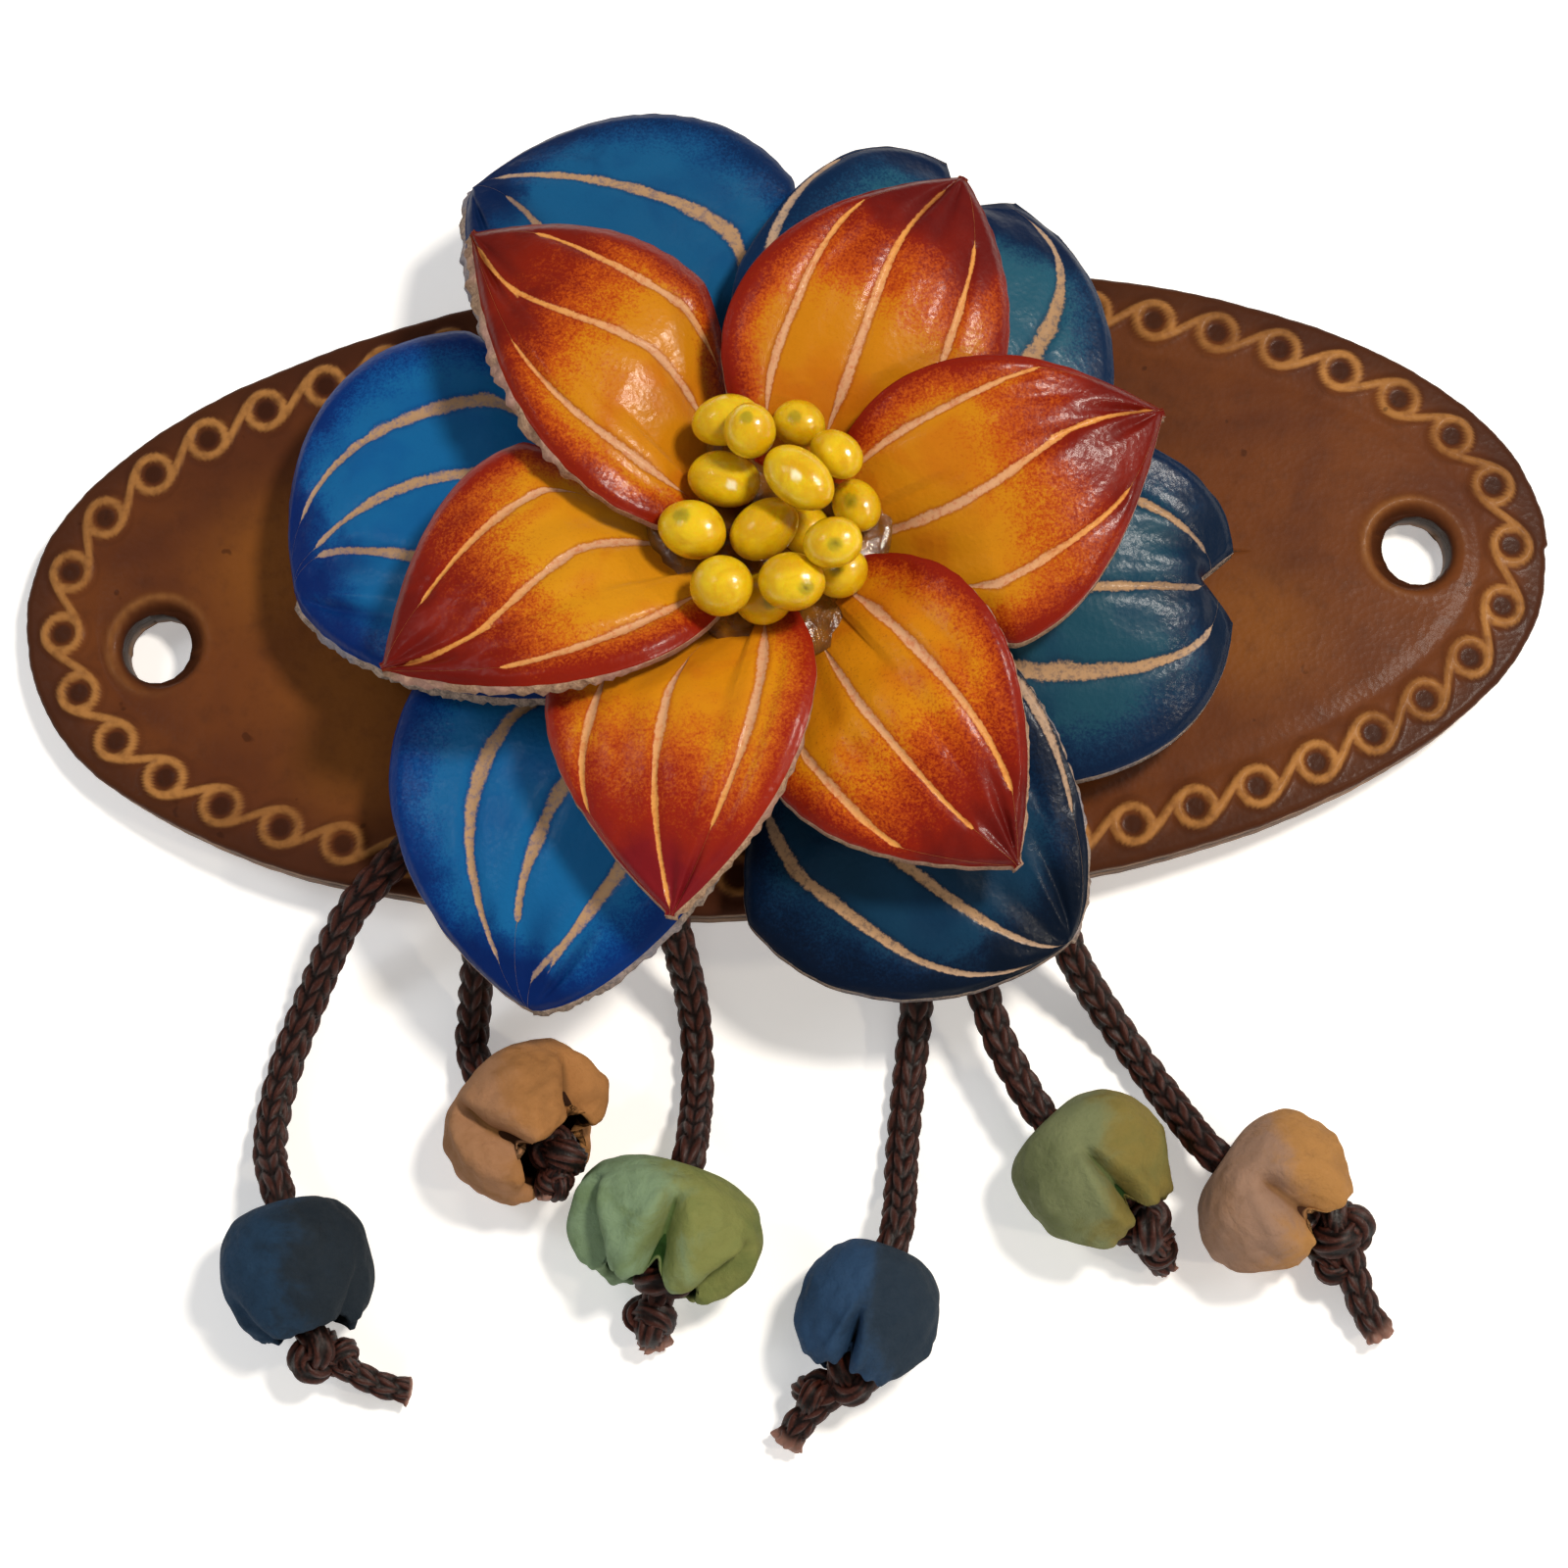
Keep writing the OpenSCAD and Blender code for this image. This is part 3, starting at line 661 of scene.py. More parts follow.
# Direction, reach, sweep, width on the under edge, width on the over edge, bluntness, notch.
INNER_ROWS = [
    (15, 31.8, 0, 14, 8, 1, 0), (64, 33, -2, 11, 10.5, 0.9, 0), (146, 34.2, -9, 13.5, 6.5, 1, 0),
    (201, 32.6, -2.5, 15, 6.7, 1, 0), (253, 31.6, -0.5, 14.5, 6.2, 1, 0), (307, 32.2, -3, 12.7, 8.2, 1, 0),
]
OUTER_ROWS = [
    (-4.5, 36.7, 0, 17.2, 11.5, 0.36, 2.8), (57.5, 37.2, 2.4, 18.5, 14, 0.36, 3.2),
    (137.3, 41, -9.2, 25, 6.2, 0.64, 0), (191, 38.6, -7.8, 25, 9.2, 0.52, 0),
    (241, 40.9, -2, 22, 7.9, 0.62, 0), (309, 38, -3.4, 20.4, 8.2, 0.58, 0),
]
PETAL_START = 3.0
PETAL_THICK = 2.0
PETAL_RAMP = 0.055
VEIN_WIDER = {"inner": 0.95, "outer": 1.15}
# Points across a petal, and the places of those of its underside as shares of its width.
ACROSS = {"inner": 77, "outer": 97}
LOW_ACROSS = np.array([0, 0.12, 0.27, 0.42, 0.5, 0.58, 0.73, 0.88, 1])
# Folds at the tip: place across, width and depth.
FOLDS = [(0.26, 0.13, 0.5), (-0.16, 0.1, 0.3)]
# Levels of a petal's cut side: share of the way down, and how far out it is where bare and where not.
SIDE_LEVELS = [(0.2, 0.12, 0.02), (0.5, 0.3, -0.12), (0.8, 0.22, -0.2)]
# A distance from a vein at which nothing of it shows.
FAR = 9.0
# How far the raw edge of each petal stands out on its over side.
BARE = {"inner": (0, 0, 2.0, 1.4, 1, 0.7), "outer": (0, 0, 1.6, 1.2, 1.2, 0.8)}


def petal_surface(ring, row, s, u):
    """Upper face of a petal, its half width there, and its blank shape without crown."""
    direction, reach, sweep, w_under, w_over, blunt, notch = row
    m = ring["widest"]
    full = np.where(u < 0, ring["base_under"], ring["base_over"])
    near = 1 - 0.9 * np.clip((m - s) / m, 0, 1) ** full
    far = np.clip(1 - (np.clip(s - m, 0, 1) / (1 - m)) ** 2, 0, 1) ** blunt
    w = np.maximum(0.035, np.where(s < m, near, far))
    along = PETAL_START + (reach - PETAL_START) * s - notch * (1 - np.abs(u) * (s < 1)) * s**12
    across = sweep * s * s + u * w * np.where(u < 0, w_under, w_over)
    c, k = math.cos(math.radians(direction)), math.sin(math.radians(direction))
    x = along * c - across * k
    y = along * k + across * c
    r = np.hypot(x, y)
    turn = np.degrees(np.arctan2(across, along))
    droop = np.where(u < 0, ring["under"], ring["over"])
    rise = ring["rise"] * np.sin(np.radians(90 * np.clip((r - 4) / (ring["reach"] - 4), 0, 1.5)))
    crown = ring["crown"] * w**1.5 * (1 - droop * u * u)
    z = PLATE_TOP + ring["base"] + rise + crown + PETAL_RAMP * turn - ring["dip"] * s**6
    return np.stack([FLOWER[0] + x, FLOWER[1] + y, z], -1), w


def cut_veins(kind, veins, S, U, P, half, seed):
    """Each point's distances from the carved veins in vein widths, and the lift of the leather by them."""
    distances = []
    lift = np.zeros(S.shape)
    for index, (s0, s1, u0, um, u1, wide) in enumerate(veins):
        t = np.clip((S - s0) / (s1 - s0), 0, 1)
        line = u0 * (1 - t) * (1 - 2 * t) + 4 * um * t * (1 - t) + u1 * t * (2 * t - 1)
        away = (U - (line + 0.012 * np.sin(9 * S + seed + index))) * half
        taper = smooth(S, s0 - 0.03, s0 + 0.12) * (1 - smooth(S, s1 - 0.02, s1 + 0.01))
        width = VEIN_WIDER[kind] * wide * taper * (1 - 0.5 * smooth(t, 0.35, 1.0))
        width *= 1 + 0.2 * waves(P, 3, seed + index)
        distances.append(away / np.maximum(width, 0.01))
        lift -= 0.2 * bell(away, wide * 1.3) * taper * (1 - smooth(S, 0.8, 0.95))
        lift += 0.08 * bell(np.abs(away) - 1.6, 0.9) * taper
    distances += [np.full(S.shape, FAR)] * (3 - len(distances))
    return distances, lift


def cut_side(a, b, middle, raw, seed):
    """The rows of a petal's cut side, from its upper edge a to its lower edge b. raw is how bare it is."""
    run = unit(np.gradient(a, axis=0))
    out = np.stack([run[:, 1], -run[:, 0], np.zeros(len(a))], -1)
    out *= np.sign(((a - middle) * out).sum(-1, keepdims=True) + 1e-9)
    levels = []
    for share, push, shy in SIDE_LEVELS:
        q = a * (1 - share) + b * share + out * (push * raw + shy * np.maximum(0, 1 - raw))
        q = q + out * raw * (0.16 * waves(q, 0.9, seed + 50))[:, None]
        q[:, 2] += 0.08 * waves(q, 1.0, seed + 51)
        levels.append(q)
    return np.stack(levels, 1)


def make_petal(name, kind, row, leather, raw, veins, bare, seed):
    ring = RINGS[kind]
    u = np.linspace(-1, 1, ACROSS[kind])
    u = 0.8 * u + 0.2 * np.sin(np.pi / 2 * u)
    s = np.concatenate([np.linspace(0, 0.9, 78, endpoint=False), np.linspace(0.9, 0.98, 12, endpoint=False),
                        [0.98, 0.986, 0.992, 0.997, 1.0]])
    S, U = np.meshgrid(s, u, indexing="ij")
    P, W = petal_surface(ring, row, S, U)
    half = np.where(U < 0, row[3], row[4]) * W
    side = (1 - np.abs(U)) * half
    distances, lift = cut_veins(kind, veins, S, U, P, half, seed)
    # The fields between the veins swell, and the tip is pinched into a few creases.
    field = 1 - bell(np.min([np.abs(v) for v in (U + 0.5, U, U - 0.5)], axis=0), 0.09)
    lift += 0.2 * (field - 1) * smooth(S, 0.1, 0.3) * (1 - smooth(S, 0.6, 0.85))
    lift += 0.14 * waves(P, 9, seed + 20) * smooth(side, 0, 2) + 0.02 * waves(P, 2.4, seed + 21)
    fold_shade = np.zeros(S.shape)
    for place, width, depth in FOLDS:
        fold = bell(U - place, width) * smooth(S, 0.7, 0.9) * (1 - smooth(S, 0.92, 1.0))
        lift -= depth * fold
        # The folds are also painted darker, as their shade.
        fold_shade = np.maximum(fold_shade, fold * 0.7)
    lift -= 0.4 * bell(side, 0.55)
    P[..., 2] += lift
    P[..., :2] += (0.04 * waves(P, 1.8, seed + 30) * (np.abs(U) > 0.999))[..., None]
    rows, cols = S.shape
    keep = np.round(LOW_ACROSS * (cols - 1)).astype(int)
    low = P[:, keep].copy()
    low[..., 2] -= PETAL_THICK + 0.8 * lift[:, keep] + 0.06 - 0.3 * bell(side[:, keep], 0.5)
    low[..., 2] += 0.08 * waves(low, 1.1, seed + 40)
    middle = P[:, cols // 2]
    over = cut_side(P[:, -1], low[:, -1], middle, smooth(s, 0.25, 0.6)[:, None] * bare, seed)
    under = cut_side(P[:, 0], low[:, 0], middle, np.zeros((rows, 1)), seed)
    # Each row of points goes round the petal: over its face, down one side, back below and up the other.
    points = np.concatenate([P, over, low[:, ::-1], under[:, ::-1]], axis=1)
    around = points.shape[1]
    slots = np.append(np.tile(np.arange(around) >= cols - 1, rows - 1), [1, 1])
    if kind == "inner":
        rim = np.maximum(1 - side / 4.6, (S - 0.36) / 0.46)
        tip = (S - 0.55) / 0.4
    else:
        rim = np.maximum(1 - side / 6.5, 1 - (1 - S) * (row[1] - PETAL_START) / 7)
        tip = (S - 0.75) / 0.25
    rim = np.where(side < 0.35, 1.0, rim)

    def spread(values, elsewhere=0.0):
        return np.pad(values, ((0, 0), (0, around - cols)), constant_values=elsewhere).ravel()

    marks = {
        "rim": spread(np.clip(rim, 0, 1.2), 1), "tip": spread(np.clip(tip, 0, 1)), "fold_shade": spread(fold_shade),
        "veins": np.stack([spread(np.clip(v, -30, 30), FAR) for v in distances], -1)}
    obj = build(name, points.reshape(-1, 3), closed_faces(rows, around), [leather, raw], slots, marks)
    return own(obj, "orange_leather" if kind == "inner" else "blue_leather", name.replace("_leather", ""))


# The dyes of each petal: heart, body, rim and tip, and how strongly the tip's dye speckles.
ORANGE_DYES = [
    ("#BE7A10", "#AE480E", "#7E1A08", "#600F08", 0.1), ("#BA740E", "#B0480E", "#7A190A", "#560F0E", 0.1),
    ("#C07A10", "#B0480E", "#7C1C0A", "#5A120C", 0.1), ("#C88614", "#B65012", "#821C0A", "#62120C", 0.15),
    ("#C88010", "#B65214", "#90220E", "#70141C", 0.15), ("#C47C0E", "#B44C0E", "#821B0A", "#56100E", 0.35)]
# Beside their dye, the blue petals carry painted light: those on the left are brighter, as lit from the left,
# and those on the right darker navy and teal, as in shade.
BLUE_DYES_AND_PAINTED_LIGHT = [
    ("#1B4658", "#10304E", "#081E3C", "#071A30"), ("#22566C", "#113A5C", "#0A2444", "#081A38"),
    ("#155480", "#0E3F70", "#07254F", "#071D44"), ("#145F94", "#0C4C8A", "#052C6C", "#05205C"),
    ("#145F94", "#0A4684", "#052C6C", "#041F58"), ("#10344E", "#08203C", "#051328", "#041020")]
ORANGE = [petal_leather("orange_%d" % i, *dyes, "#D8944A", "#CC9A72", 0.32, 0.12, speckle)
          for i, (*dyes, speckle) in enumerate(ORANGE_DYES, 1)]
BLUE = [petal_leather("blue_%d" % i, *dyes, "#B2957C", "#B08C68", 0.34, 0.08, 0.08)
        for i, dyes in enumerate(BLUE_DYES_AND_PAINTED_LIGHT, 1)]
# Each vein: from and to along the petal, its place across at both ends and midway, and half its width.
INNER_VEINS = [
    [(0.12, 0.70, 0.57, 0.55, 0.88, 0.34), (0.1, 0.97, -0.28, -0.12, 0.2, 0.34),
     (0.3, 0.84, -0.7, -0.66, -0.8, 0.34)],
    [(0.16, 0.80, 0.57, 0.59, 0.84, 0.34), (0.2, 0.94, -0.02, 0.08, 0.25, 0.36),
     (0.42, 0.82, -0.56, -0.57, -0.62, 0.3)],
    [(0.28, 0.85, -0.86, -0.72, -0.8, 0.34), (0.2, 0.96, -0.52, -0.29, 0.2, 0.36),
     (0.16, 0.72, 0.28, 0.38, 0.57, 0.36)],
    [(0.34, 0.84, -0.68, -0.63, -0.56, 0.36), (0.16, 0.94, -0.38, -0.18, 0.25, 0.34),
     (0.16, 0.72, 0.46, 0.55, 0.68, 0.38)],
    [(0.4, 0.78, -0.7, -0.78, -0.93, 0.36), (0.3, 0.98, -0.36, -0.33, -0.3, 0.34),
     (0.12, 0.76, 0.16, 0.31, 0.31, 0.42)],
    [(0.12, 0.85, 0.26, 0.27, 0.6, 0.4), (0.2, 0.86, -0.37, -0.3, -0.33, 0.34),
     (0.34, 0.77, -0.77, -0.75, -0.9, 0.38)],
]
OUTER_VEINS = [
    [(0.5, 0.96, 0.64, 0.54, 0.3, 0.42), (0.45, 0.96, -0.13, -0.12, -0.12, 0.42),
     (0.34, 0.97, -0.45, -0.53, -0.52, 0.55)],
    [(0.5, 0.98, -0.48, -0.64, -0.8, 0.55), (0.4, 0.85, 0.8, 0.93, 0.97, 0.3)],
    [(0.3, 0.97, -0.69, -0.63, -0.38, 0.5), (0.55, 0.92, -0.14, -0.18, -0.2, 0.4)],
    [(0.3, 0.95, -0.73, -0.71, -0.62, 0.5), (0.45, 0.93, -0.45, -0.43, -0.32, 0.45),
     (0.5, 0.93, -0.06, -0.14, -0.27, 0.45)],
    [(0.34, 0.94, -0.56, -0.62, -0.47, 0.5), (0.45, 0.86, -0.28, -0.3, -0.3, 0.5),
     (0.55, 0.95, 0.14, 0.09, -0.13, 0.5)],
    [(0.26, 0.98, -0.94, -0.7, -0.84, 0.42), (0.45, 0.99, -0.43, -0.39, -0.38, 0.42),
     (0.4, 0.8, 0.9, 0.94, 0.84, 0.34)],
]
for i in range(6):
    make_petal("outer_petal_%d_leather" % (i + 1), "outer", OUTER_ROWS[i], BLUE[i], SUEDE_BLUE,
               OUTER_VEINS[i], BARE["outer"][i], 100 + i)
    make_petal("inner_petal_%d_leather" % (i + 1), "inner", INNER_ROWS[i], ORANGE[i], SUEDE_TAN,
               INNER_VEINS[i], BARE["inner"][i], 200 + i)

# Pearl heads: x, y, z, direction, lean, diameter, length.
PEARLS = [
    (-4.3, 5.7, 28.9, 12, 78, 4, 5.4), (-2.3, 3.8, 32.2, 87, 40, 4, 4.3),
    (1.6, 5.3, 28.2, -23, 70, 3.7, 4.2), (4.2, 2.2, 30, -43, 75, 3.5, 4.6),
    (-4.7, 1.6, 27, -20, 80, 4.4, 5.8), (1.1, -0.2, 32.3, -45, 80, 4.3, 6.4),
    (5.6, -0.9, 26.5, -63, 70, 3.7, 4.6), (-7.3, -2.7, 28.1, -25, 78, 4.5, 5.6),
    (-1.7, -3, 27.8, 32, 80, 4.5, 5.7), (3.7, -5.7, 32.6, 2, 70, 3.9, 4.5),
    (-5.2, -7.8, 29.5, -3, 70, 4.6, 5), (0.4, -8, 30.3, -13, 75, 4.5, 5.3),
    (4.1, -6.5, 26.8, 27, 60, 3.8, 4.4), (-2.1, -8.1, 26.3, -3, 70, 4, 4.6),
    (1.6, -2.2, 24.8, -3, 20, 4, 4.2),
]
# Pearl heads with a painted highlight, a pale dot, in place of a dark spot.
GLINT_PEARLS = (5, 6)


def turn_matrix(direction, lean):
    """Columns are the axes of a shape that leans from upright towards a direction."""
    d, l = math.radians(direction), math.radians(lean)
    ry = np.array([[math.cos(l), 0, math.sin(l)], [0, 1, 0], [-math.sin(l), 0, math.cos(l)]])
    rz = np.array([[math.cos(d), -math.sin(d), 0], [math.sin(d), math.cos(d), 0], [0, 0, 1]])
    return rz @ ry


def make_pearl(index, row):
    x, y, z, direction, lean, dia, length = row
    rng = np.random.default_rng(500 + index)
    rows, cols = 26, 36
    V, A = np.meshgrid(np.linspace(0, np.pi, rows), circle(cols), indexing="ij")
    n = np.stack([np.sin(V) * np.cos(A), np.sin(V) * np.sin(A), np.cos(V)], -1)
    r = 1 + 0.03 * waves(n, 2.2, 600 + index)
    egg = 1 + 0.06 * rng.choice([-1, 1]) * n[..., 2]
    to_world = turn_matrix(direction, lean)
    p = n * (r * egg)[..., None] * np.array([dia, dia, length]) / 2 @ to_world.T
    nw = n @ to_world.T
    up = unit(np.array([rng.uniform(-0.5, 0.5), rng.uniform(-0.6, 0.3), 1.0]))
    angle = np.degrees(np.arccos(np.clip(nw @ up, -1, 1)))
    spot = (1 - smooth(angle, 12, 22)) * (rng.random() < 0.55)
    pin = (1 - smooth(angle, 3, 7)) * (rng.random() < 0.4)
    # The pale dot is a painted highlight.
    pale = (1 - smooth(angle, 6, 12)) * (index in GLINT_PEARLS)
    p = p - nw * (0.12 * pin)[..., None] + np.array([x, y, z])
    obj = build("stamen_%d_pearl" % index, p.reshape(-1, 3), ring_faces(rows, cols), [PEARL], None,
                {"spot": spot * 0.8 * (index not in GLINT_PEARLS), "pin": pin * 0.8, "pale": pale})
    weld(obj)
    own(obj, "pearl_yellow", "stamen_%d" % index)


def weld(obj):
    """Joins the points that share a place, such as those at a pole."""
    bm = bmesh.new()
    bm.from_mesh(obj.data)
    bmesh.ops.remove_doubles(bm, verts=bm.verts, dist=1e-6)
    bm.to_mesh(obj.data)
    bm.free()


for index, row in enumerate(PEARLS, 1):
    make_pearl(index, row)

# Beads: x, y, heading, pitch, length, width, height.
BEADS = [
    (-42.1, -55.9, -78, 0, 10.9, 12.1, 11.6), (-23.4, -44.9, -48, 25, 9.6, 14.2, 11.8),
    (-12.3, -54.1, -110, 0, 10.2, 15.4, 12), (3.4, -61.6, -113, 0, 10.7, 11.3, 11.2),
    (22.2, -51.3, -50, 0, 11, 12.6, 12), (36.3, -54, -38, 0, 9.8, 13.8, 12),
]
# Each knot's first lump, its second lump and the end of its tail, each a place and a width.
KNOTS = [
    ((-40.8, -63.1, 4.6), 4.4, (-39, -62.9, 3.8), 3.2, (-34.3, -65.4, 1.6), 2.2),
    ((-20.2, -48.6, 7.6), 4.4, (-21, -50.2, 7.3), 2.8, (-21.6, -51, 7), 1.8),
    ((-12.9, -58, 5.7), 4.8, (-14.1, -61.1, 3), 4.2, (-13.7, -62.6, 1.8), 2.6),
    ((1.7, -67.1, 5.2), 4.4, (-1.2, -67.6, 3.6), 3.6, (-3.2, -71, 1.8), 2.6),
    ((26.2, -56.5, 5.2), 4.4, (27, -57.3, 3.8), 3.4, (27.6, -58.5, 1.8), 2.4),
    ((42.2, -57.3, 5), 4.8, (40.9, -59.3, 3.4), 3.6, (44.4, -64.7, 1.8), 2.6),
]
# Places of each cord from the seat on, with a height where the cord is off the plate.
ROUTES = [
    [(-9.4, -7.7), (-15.2, -11.3), (-21, -15), (-26.8, -18.9), (-31.4, -22.3), (-34.4, -24.9),
     (-36.9, -27.4, 7.6), (-39, -30.3, 5), (-41, -33.7, 2.5), (-42.9, -37.9, 1.5), (-44.2, -42.3, 1.5),
     (-44.4, -46.3, 3.3)],
    [(-7.9, -10.4), (-12.4, -14), (-17, -17.5), (-21, -21.4), (-24.2, -25.3), (-25.6, -28.3, 9.3),
     (-26.4, -30.9, 8), (-27, -33.3, 5.6), (-27.5, -35.7, 3.1), (-27.8, -38.1, 2)],
    [(-4.6, -11.9), (-6.6, -15.7), (-8.4, -19.5), (-9.8, -23.3), (-10.6, -26.7), (-10.6, -29.7, 9.9),
     (-10.2, -32.1, 7.9), (-9.7, -34.5, 4.6), (-9.4, -37.3, 2.2), (-9.4, -40.7, 1.5), (-9.6, -43.7, 2.1),
     (-9.9, -46.1, 4)],
    [(2, -12.3), (4.6, -16.1), (6.8, -19.9), (8.4, -23.9), (9.2, -27.1), (9.4, -29.9, 9.9),
     (9.3, -32.5, 7.7), (9, -35.1, 4.6), (8.6, -38.1, 2.1), (7.9, -42.3, 1.5), (7, -48.1, 1.5),
     (6.5, -52.5, 3.2)],
    [(5.6, -10.1), (8.4, -14.3), (10.8, -18.5), (12.4, -22.5), (13.3, -26.1), (13.6, -29.5, 9.8),
     (13.7, -32.5, 8.8), (13.9, -35.5, 7.7), (14.6, -38.5, 6.8), (15.7, -41.7, 6.3)],
    [(8.2, -7.5), (11.8, -11.7), (15, -16.1), (17.6, -20.7), (19, -24.9), (19.8, -28.5, 9.8),
     (20.5, -31.3, 8.9), (21.6, -34.1, 6.8), (23.4, -36.9, 4), (26, -40.7, 1.8), (28.2, -44.3, 2),
     (29.8, -47.3, 4)],
]


def bead_ahead(row):
    """The direction from a bead's hole to its mouth."""
    return turn_matrix(row[2], -row[3])[:, 0]


def bead_middle(row):
    return np.array([row[0], row[1], row[6] / 2 + 0.1])


def full_route(i):
    row, knot = BEADS[i], KNOTS[i]
    points = [p if len(p) == 3 else (p[0], p[1], float(face_z(p[0])) + RELIEF + CORD_D / 2 + 0.1)
              for p in ROUTES[i]]
    mid, ahead = bead_middle(row), bead_ahead(row)
    end = np.linalg.norm(np.array(knot[0]) - mid) - knot[1] / 2 - 0.3
    points += [mid - (row[4] / 2 + 1) * ahead, mid - (row[4] / 2 - 2.6) * ahead, mid + end * ahead]
    return np.array([list(p) for p in points])


def through(points, step):
    """A smooth line through points, with places about that step apart."""
    p = np.vstack([2 * points[0] - points[1], points, 2 * points[-1] - points[-2]])
    out = []
    for i in range(1, len(p) - 2):
        t = np.linspace(0, 1, 24, endpoint=False)[:, None]
        a, b, c, d = p[i - 1], p[i], p[i + 1], p[i + 2]
        out.append(0.5 * (2 * b + (c - a) * t + (2 * a - 5 * b + 4 * c - d) * t**2
                          + (3 * b - a - 3 * c + d) * t**3))
    line = np.vstack(out + [points[-1:]])
    run = run_along(line)
    at = np.linspace(0, run[-1], int(round(run[-1] / step)) + 1)
    return np.stack([np.interp(at, run, line[:, k]) for k in range(3)], -1), at


# Columns of stitches round a braid, and how far from its end a cord is rounded.
BRAID_COLUMNS = 8
END_ROUND = 0.35


def carried_frames(line):
    """Two cross directions at each place of a line, carried along without twist."""
    ahead = unit(np.gradient(line, axis=0))
    side = np.zeros_like(line)
    v = np.cross([0, 0, 1.0], ahead[0])
    if np.linalg.norm(v) < 1e-3:
        v = np.array([1.0, 0, 0])
    for i in range(len(line)):
        v = v - (v @ ahead[i]) * ahead[i]
        v /= np.linalg.norm(v)
        side[i] = v
    return side, np.cross(ahead, side)


def braid(at, angle, radius, pitch):
    """Radius of a braided cord: leaning leaf-shaped stitches in columns, as V shapes."""
    col = angle / (2 * np.pi) * BRAID_COLUMNS
    index = np.floor(col).astype(int)
    v = (col - index) * 2 - 1
    lean = np.where(index % 2 == 0, 1, -1)
    stitch = np.abs(np.sin(np.pi * (at / pitch + 0.42 * v * lean))) ** 0.8
    high = stitch * (0.2 + 0.8 * (1 - np.abs(v) ** 2.5) ** 0.7)
    return radius * (0.72 + 0.32 * high), high


def braided_tube(route, diameter, step=0.16, around=40, pitch=2.0, fray=0.0, seed=0):
    """A braided cord along a route: its points, faces, marks and middle line."""
    line, at = through(route, step)
    side, up = carried_frames(line)
    # The angle runs backwards, so that the faces look outwards.
    AT, A = np.meshgrid(at, -circle(around), indexing="ij")
    r, high = braid(AT, A, diameter / 2, pitch)
    left = at[-1] - AT
    for place in (AT, left):
        r = r * np.sqrt(np.clip(1 - np.clip(1 - place / END_ROUND, 0, 1) ** 2, 0.02, 1))
    loose = np.zeros(AT.shape)
    if fray:
        loose = 1 - smooth(left, 0.2, fray)
        r = r * (1 + 0.3 * loose * waves(np.stack([np.cos(A) * 2, np.sin(A) * 2, AT], -1), 1.3, seed))
    across = np.cos(A)[..., None] * side[:, None] + np.sin(A)[..., None] * up[:, None]
    points = (line[:, None] + r[..., None] * across).reshape(-1, 3)
    faces = closed_faces(len(line), around)
    return points, faces, {"high": high.ravel(), "frayed": (loose * 0.7).ravel()}, line


def make_cord(i):
    points, faces, marks, line = braided_tube(full_route(i), CORD_D)
    obj = build("braided_cord_%d" % (i + 1), points, faces, [CORD], None, marks)
    return own(obj, "cord_leather", "cord_%d" % (i + 1)), line


# A bead's outer shape: share of its length and radius on a bead 12 across, from the hole to the mouth.
BEAD_SHAPE = np.array([
    (0.0, 1.7), (0.0, 2.2), (0.015, 3.0), (0.05, 3.75), (0.11, 4.6), (0.2, 5.35), (0.32, 5.85), (0.45, 6.05),
    (0.6, 5.95), (0.74, 5.55), (0.86, 4.9), (0.94, 4.2), (0.985, 3.65), (1.0, 3.25), (0.985, 2.95),
    (0.94, 2.9), (0.85, 3.2), (0.7, 3.7), (0.5, 3.9), (0.34, 3.5), (0.24, 2.5), (0.2, 1.5)])
BEAD_WIDTH = 12
MOUTH = 13
BEAD_COLS = 180
# Slits of each bead: degrees round it from the top, depth, start along the bead and width in degrees.
BEAD_SLITS = [
    [(-62, 0.35, 0.62, 12), (62, 0.4, 0.6, 12), (150, 0.6, 0.5, 14), (-150, 0.6, 0.5, 14)],
    [(-30, 1.0, 0.2, 11), (62, 0.85, 0.45, 16), (128, 0.8, 0.45, 14), (-150, 0.8, 0.45, 14)],
    [(3, 1.0, 0.24, 9), (62, 0.85, 0.45, 11), (-60, 0.95, 0.3, 12), (178, 0.8, 0.4, 14)],
    [(-6, 0.9, 0.52, 6), (95, 0.6, 0.55, 14), (-100, 0.6, 0.6, 14), (180, 0.8, 0.45, 14)],
    [(-2, 0.9, 0.33, 8), (82, 0.65, 0.5, 14), (-95, 0.7, 0.5, 14), (175, 0.8, 0.4, 14)],
    [(-4, 0.95, 0.3, 13), (85, 0.6, 0.5, 14), (-98, 0.75, 0.5, 14), (170, 0.8, 0.45, 14)],
]
# The leather of each bead: its dye, body, second colour, shade, inside, and the second colour's share. The
# second colour is painted light on the side towards +x, and the inside is painted shade.
BEAD_DYES = [
    ("blue", "#23394F", "#23292E", "#1A232C", "#0C1116", 0.9),
    ("tan", "#9E7454", "#A87440", "#7C5632", "#2E1A0E", 0.8),
    ("green", "#7A9070", "#7E7E40", "#55683A", "#27401C", 0.85),
    ("blue", "#2B4461", "#2A3238", "#1E2C3A", "#0C1116", 0.8),
    ("green", "#747A56", "#7E6E36", "#57603A", "#22381A", 0.9),
    ("tan", "#957662", "#A87A46", "#7C5A3C", "#3A2214", 1.0),
]
# Knots whose tail is frayed, and the lowest place of a knot over the surface.
FRAYED = (3, 4, 6)
LOWEST = 0.04


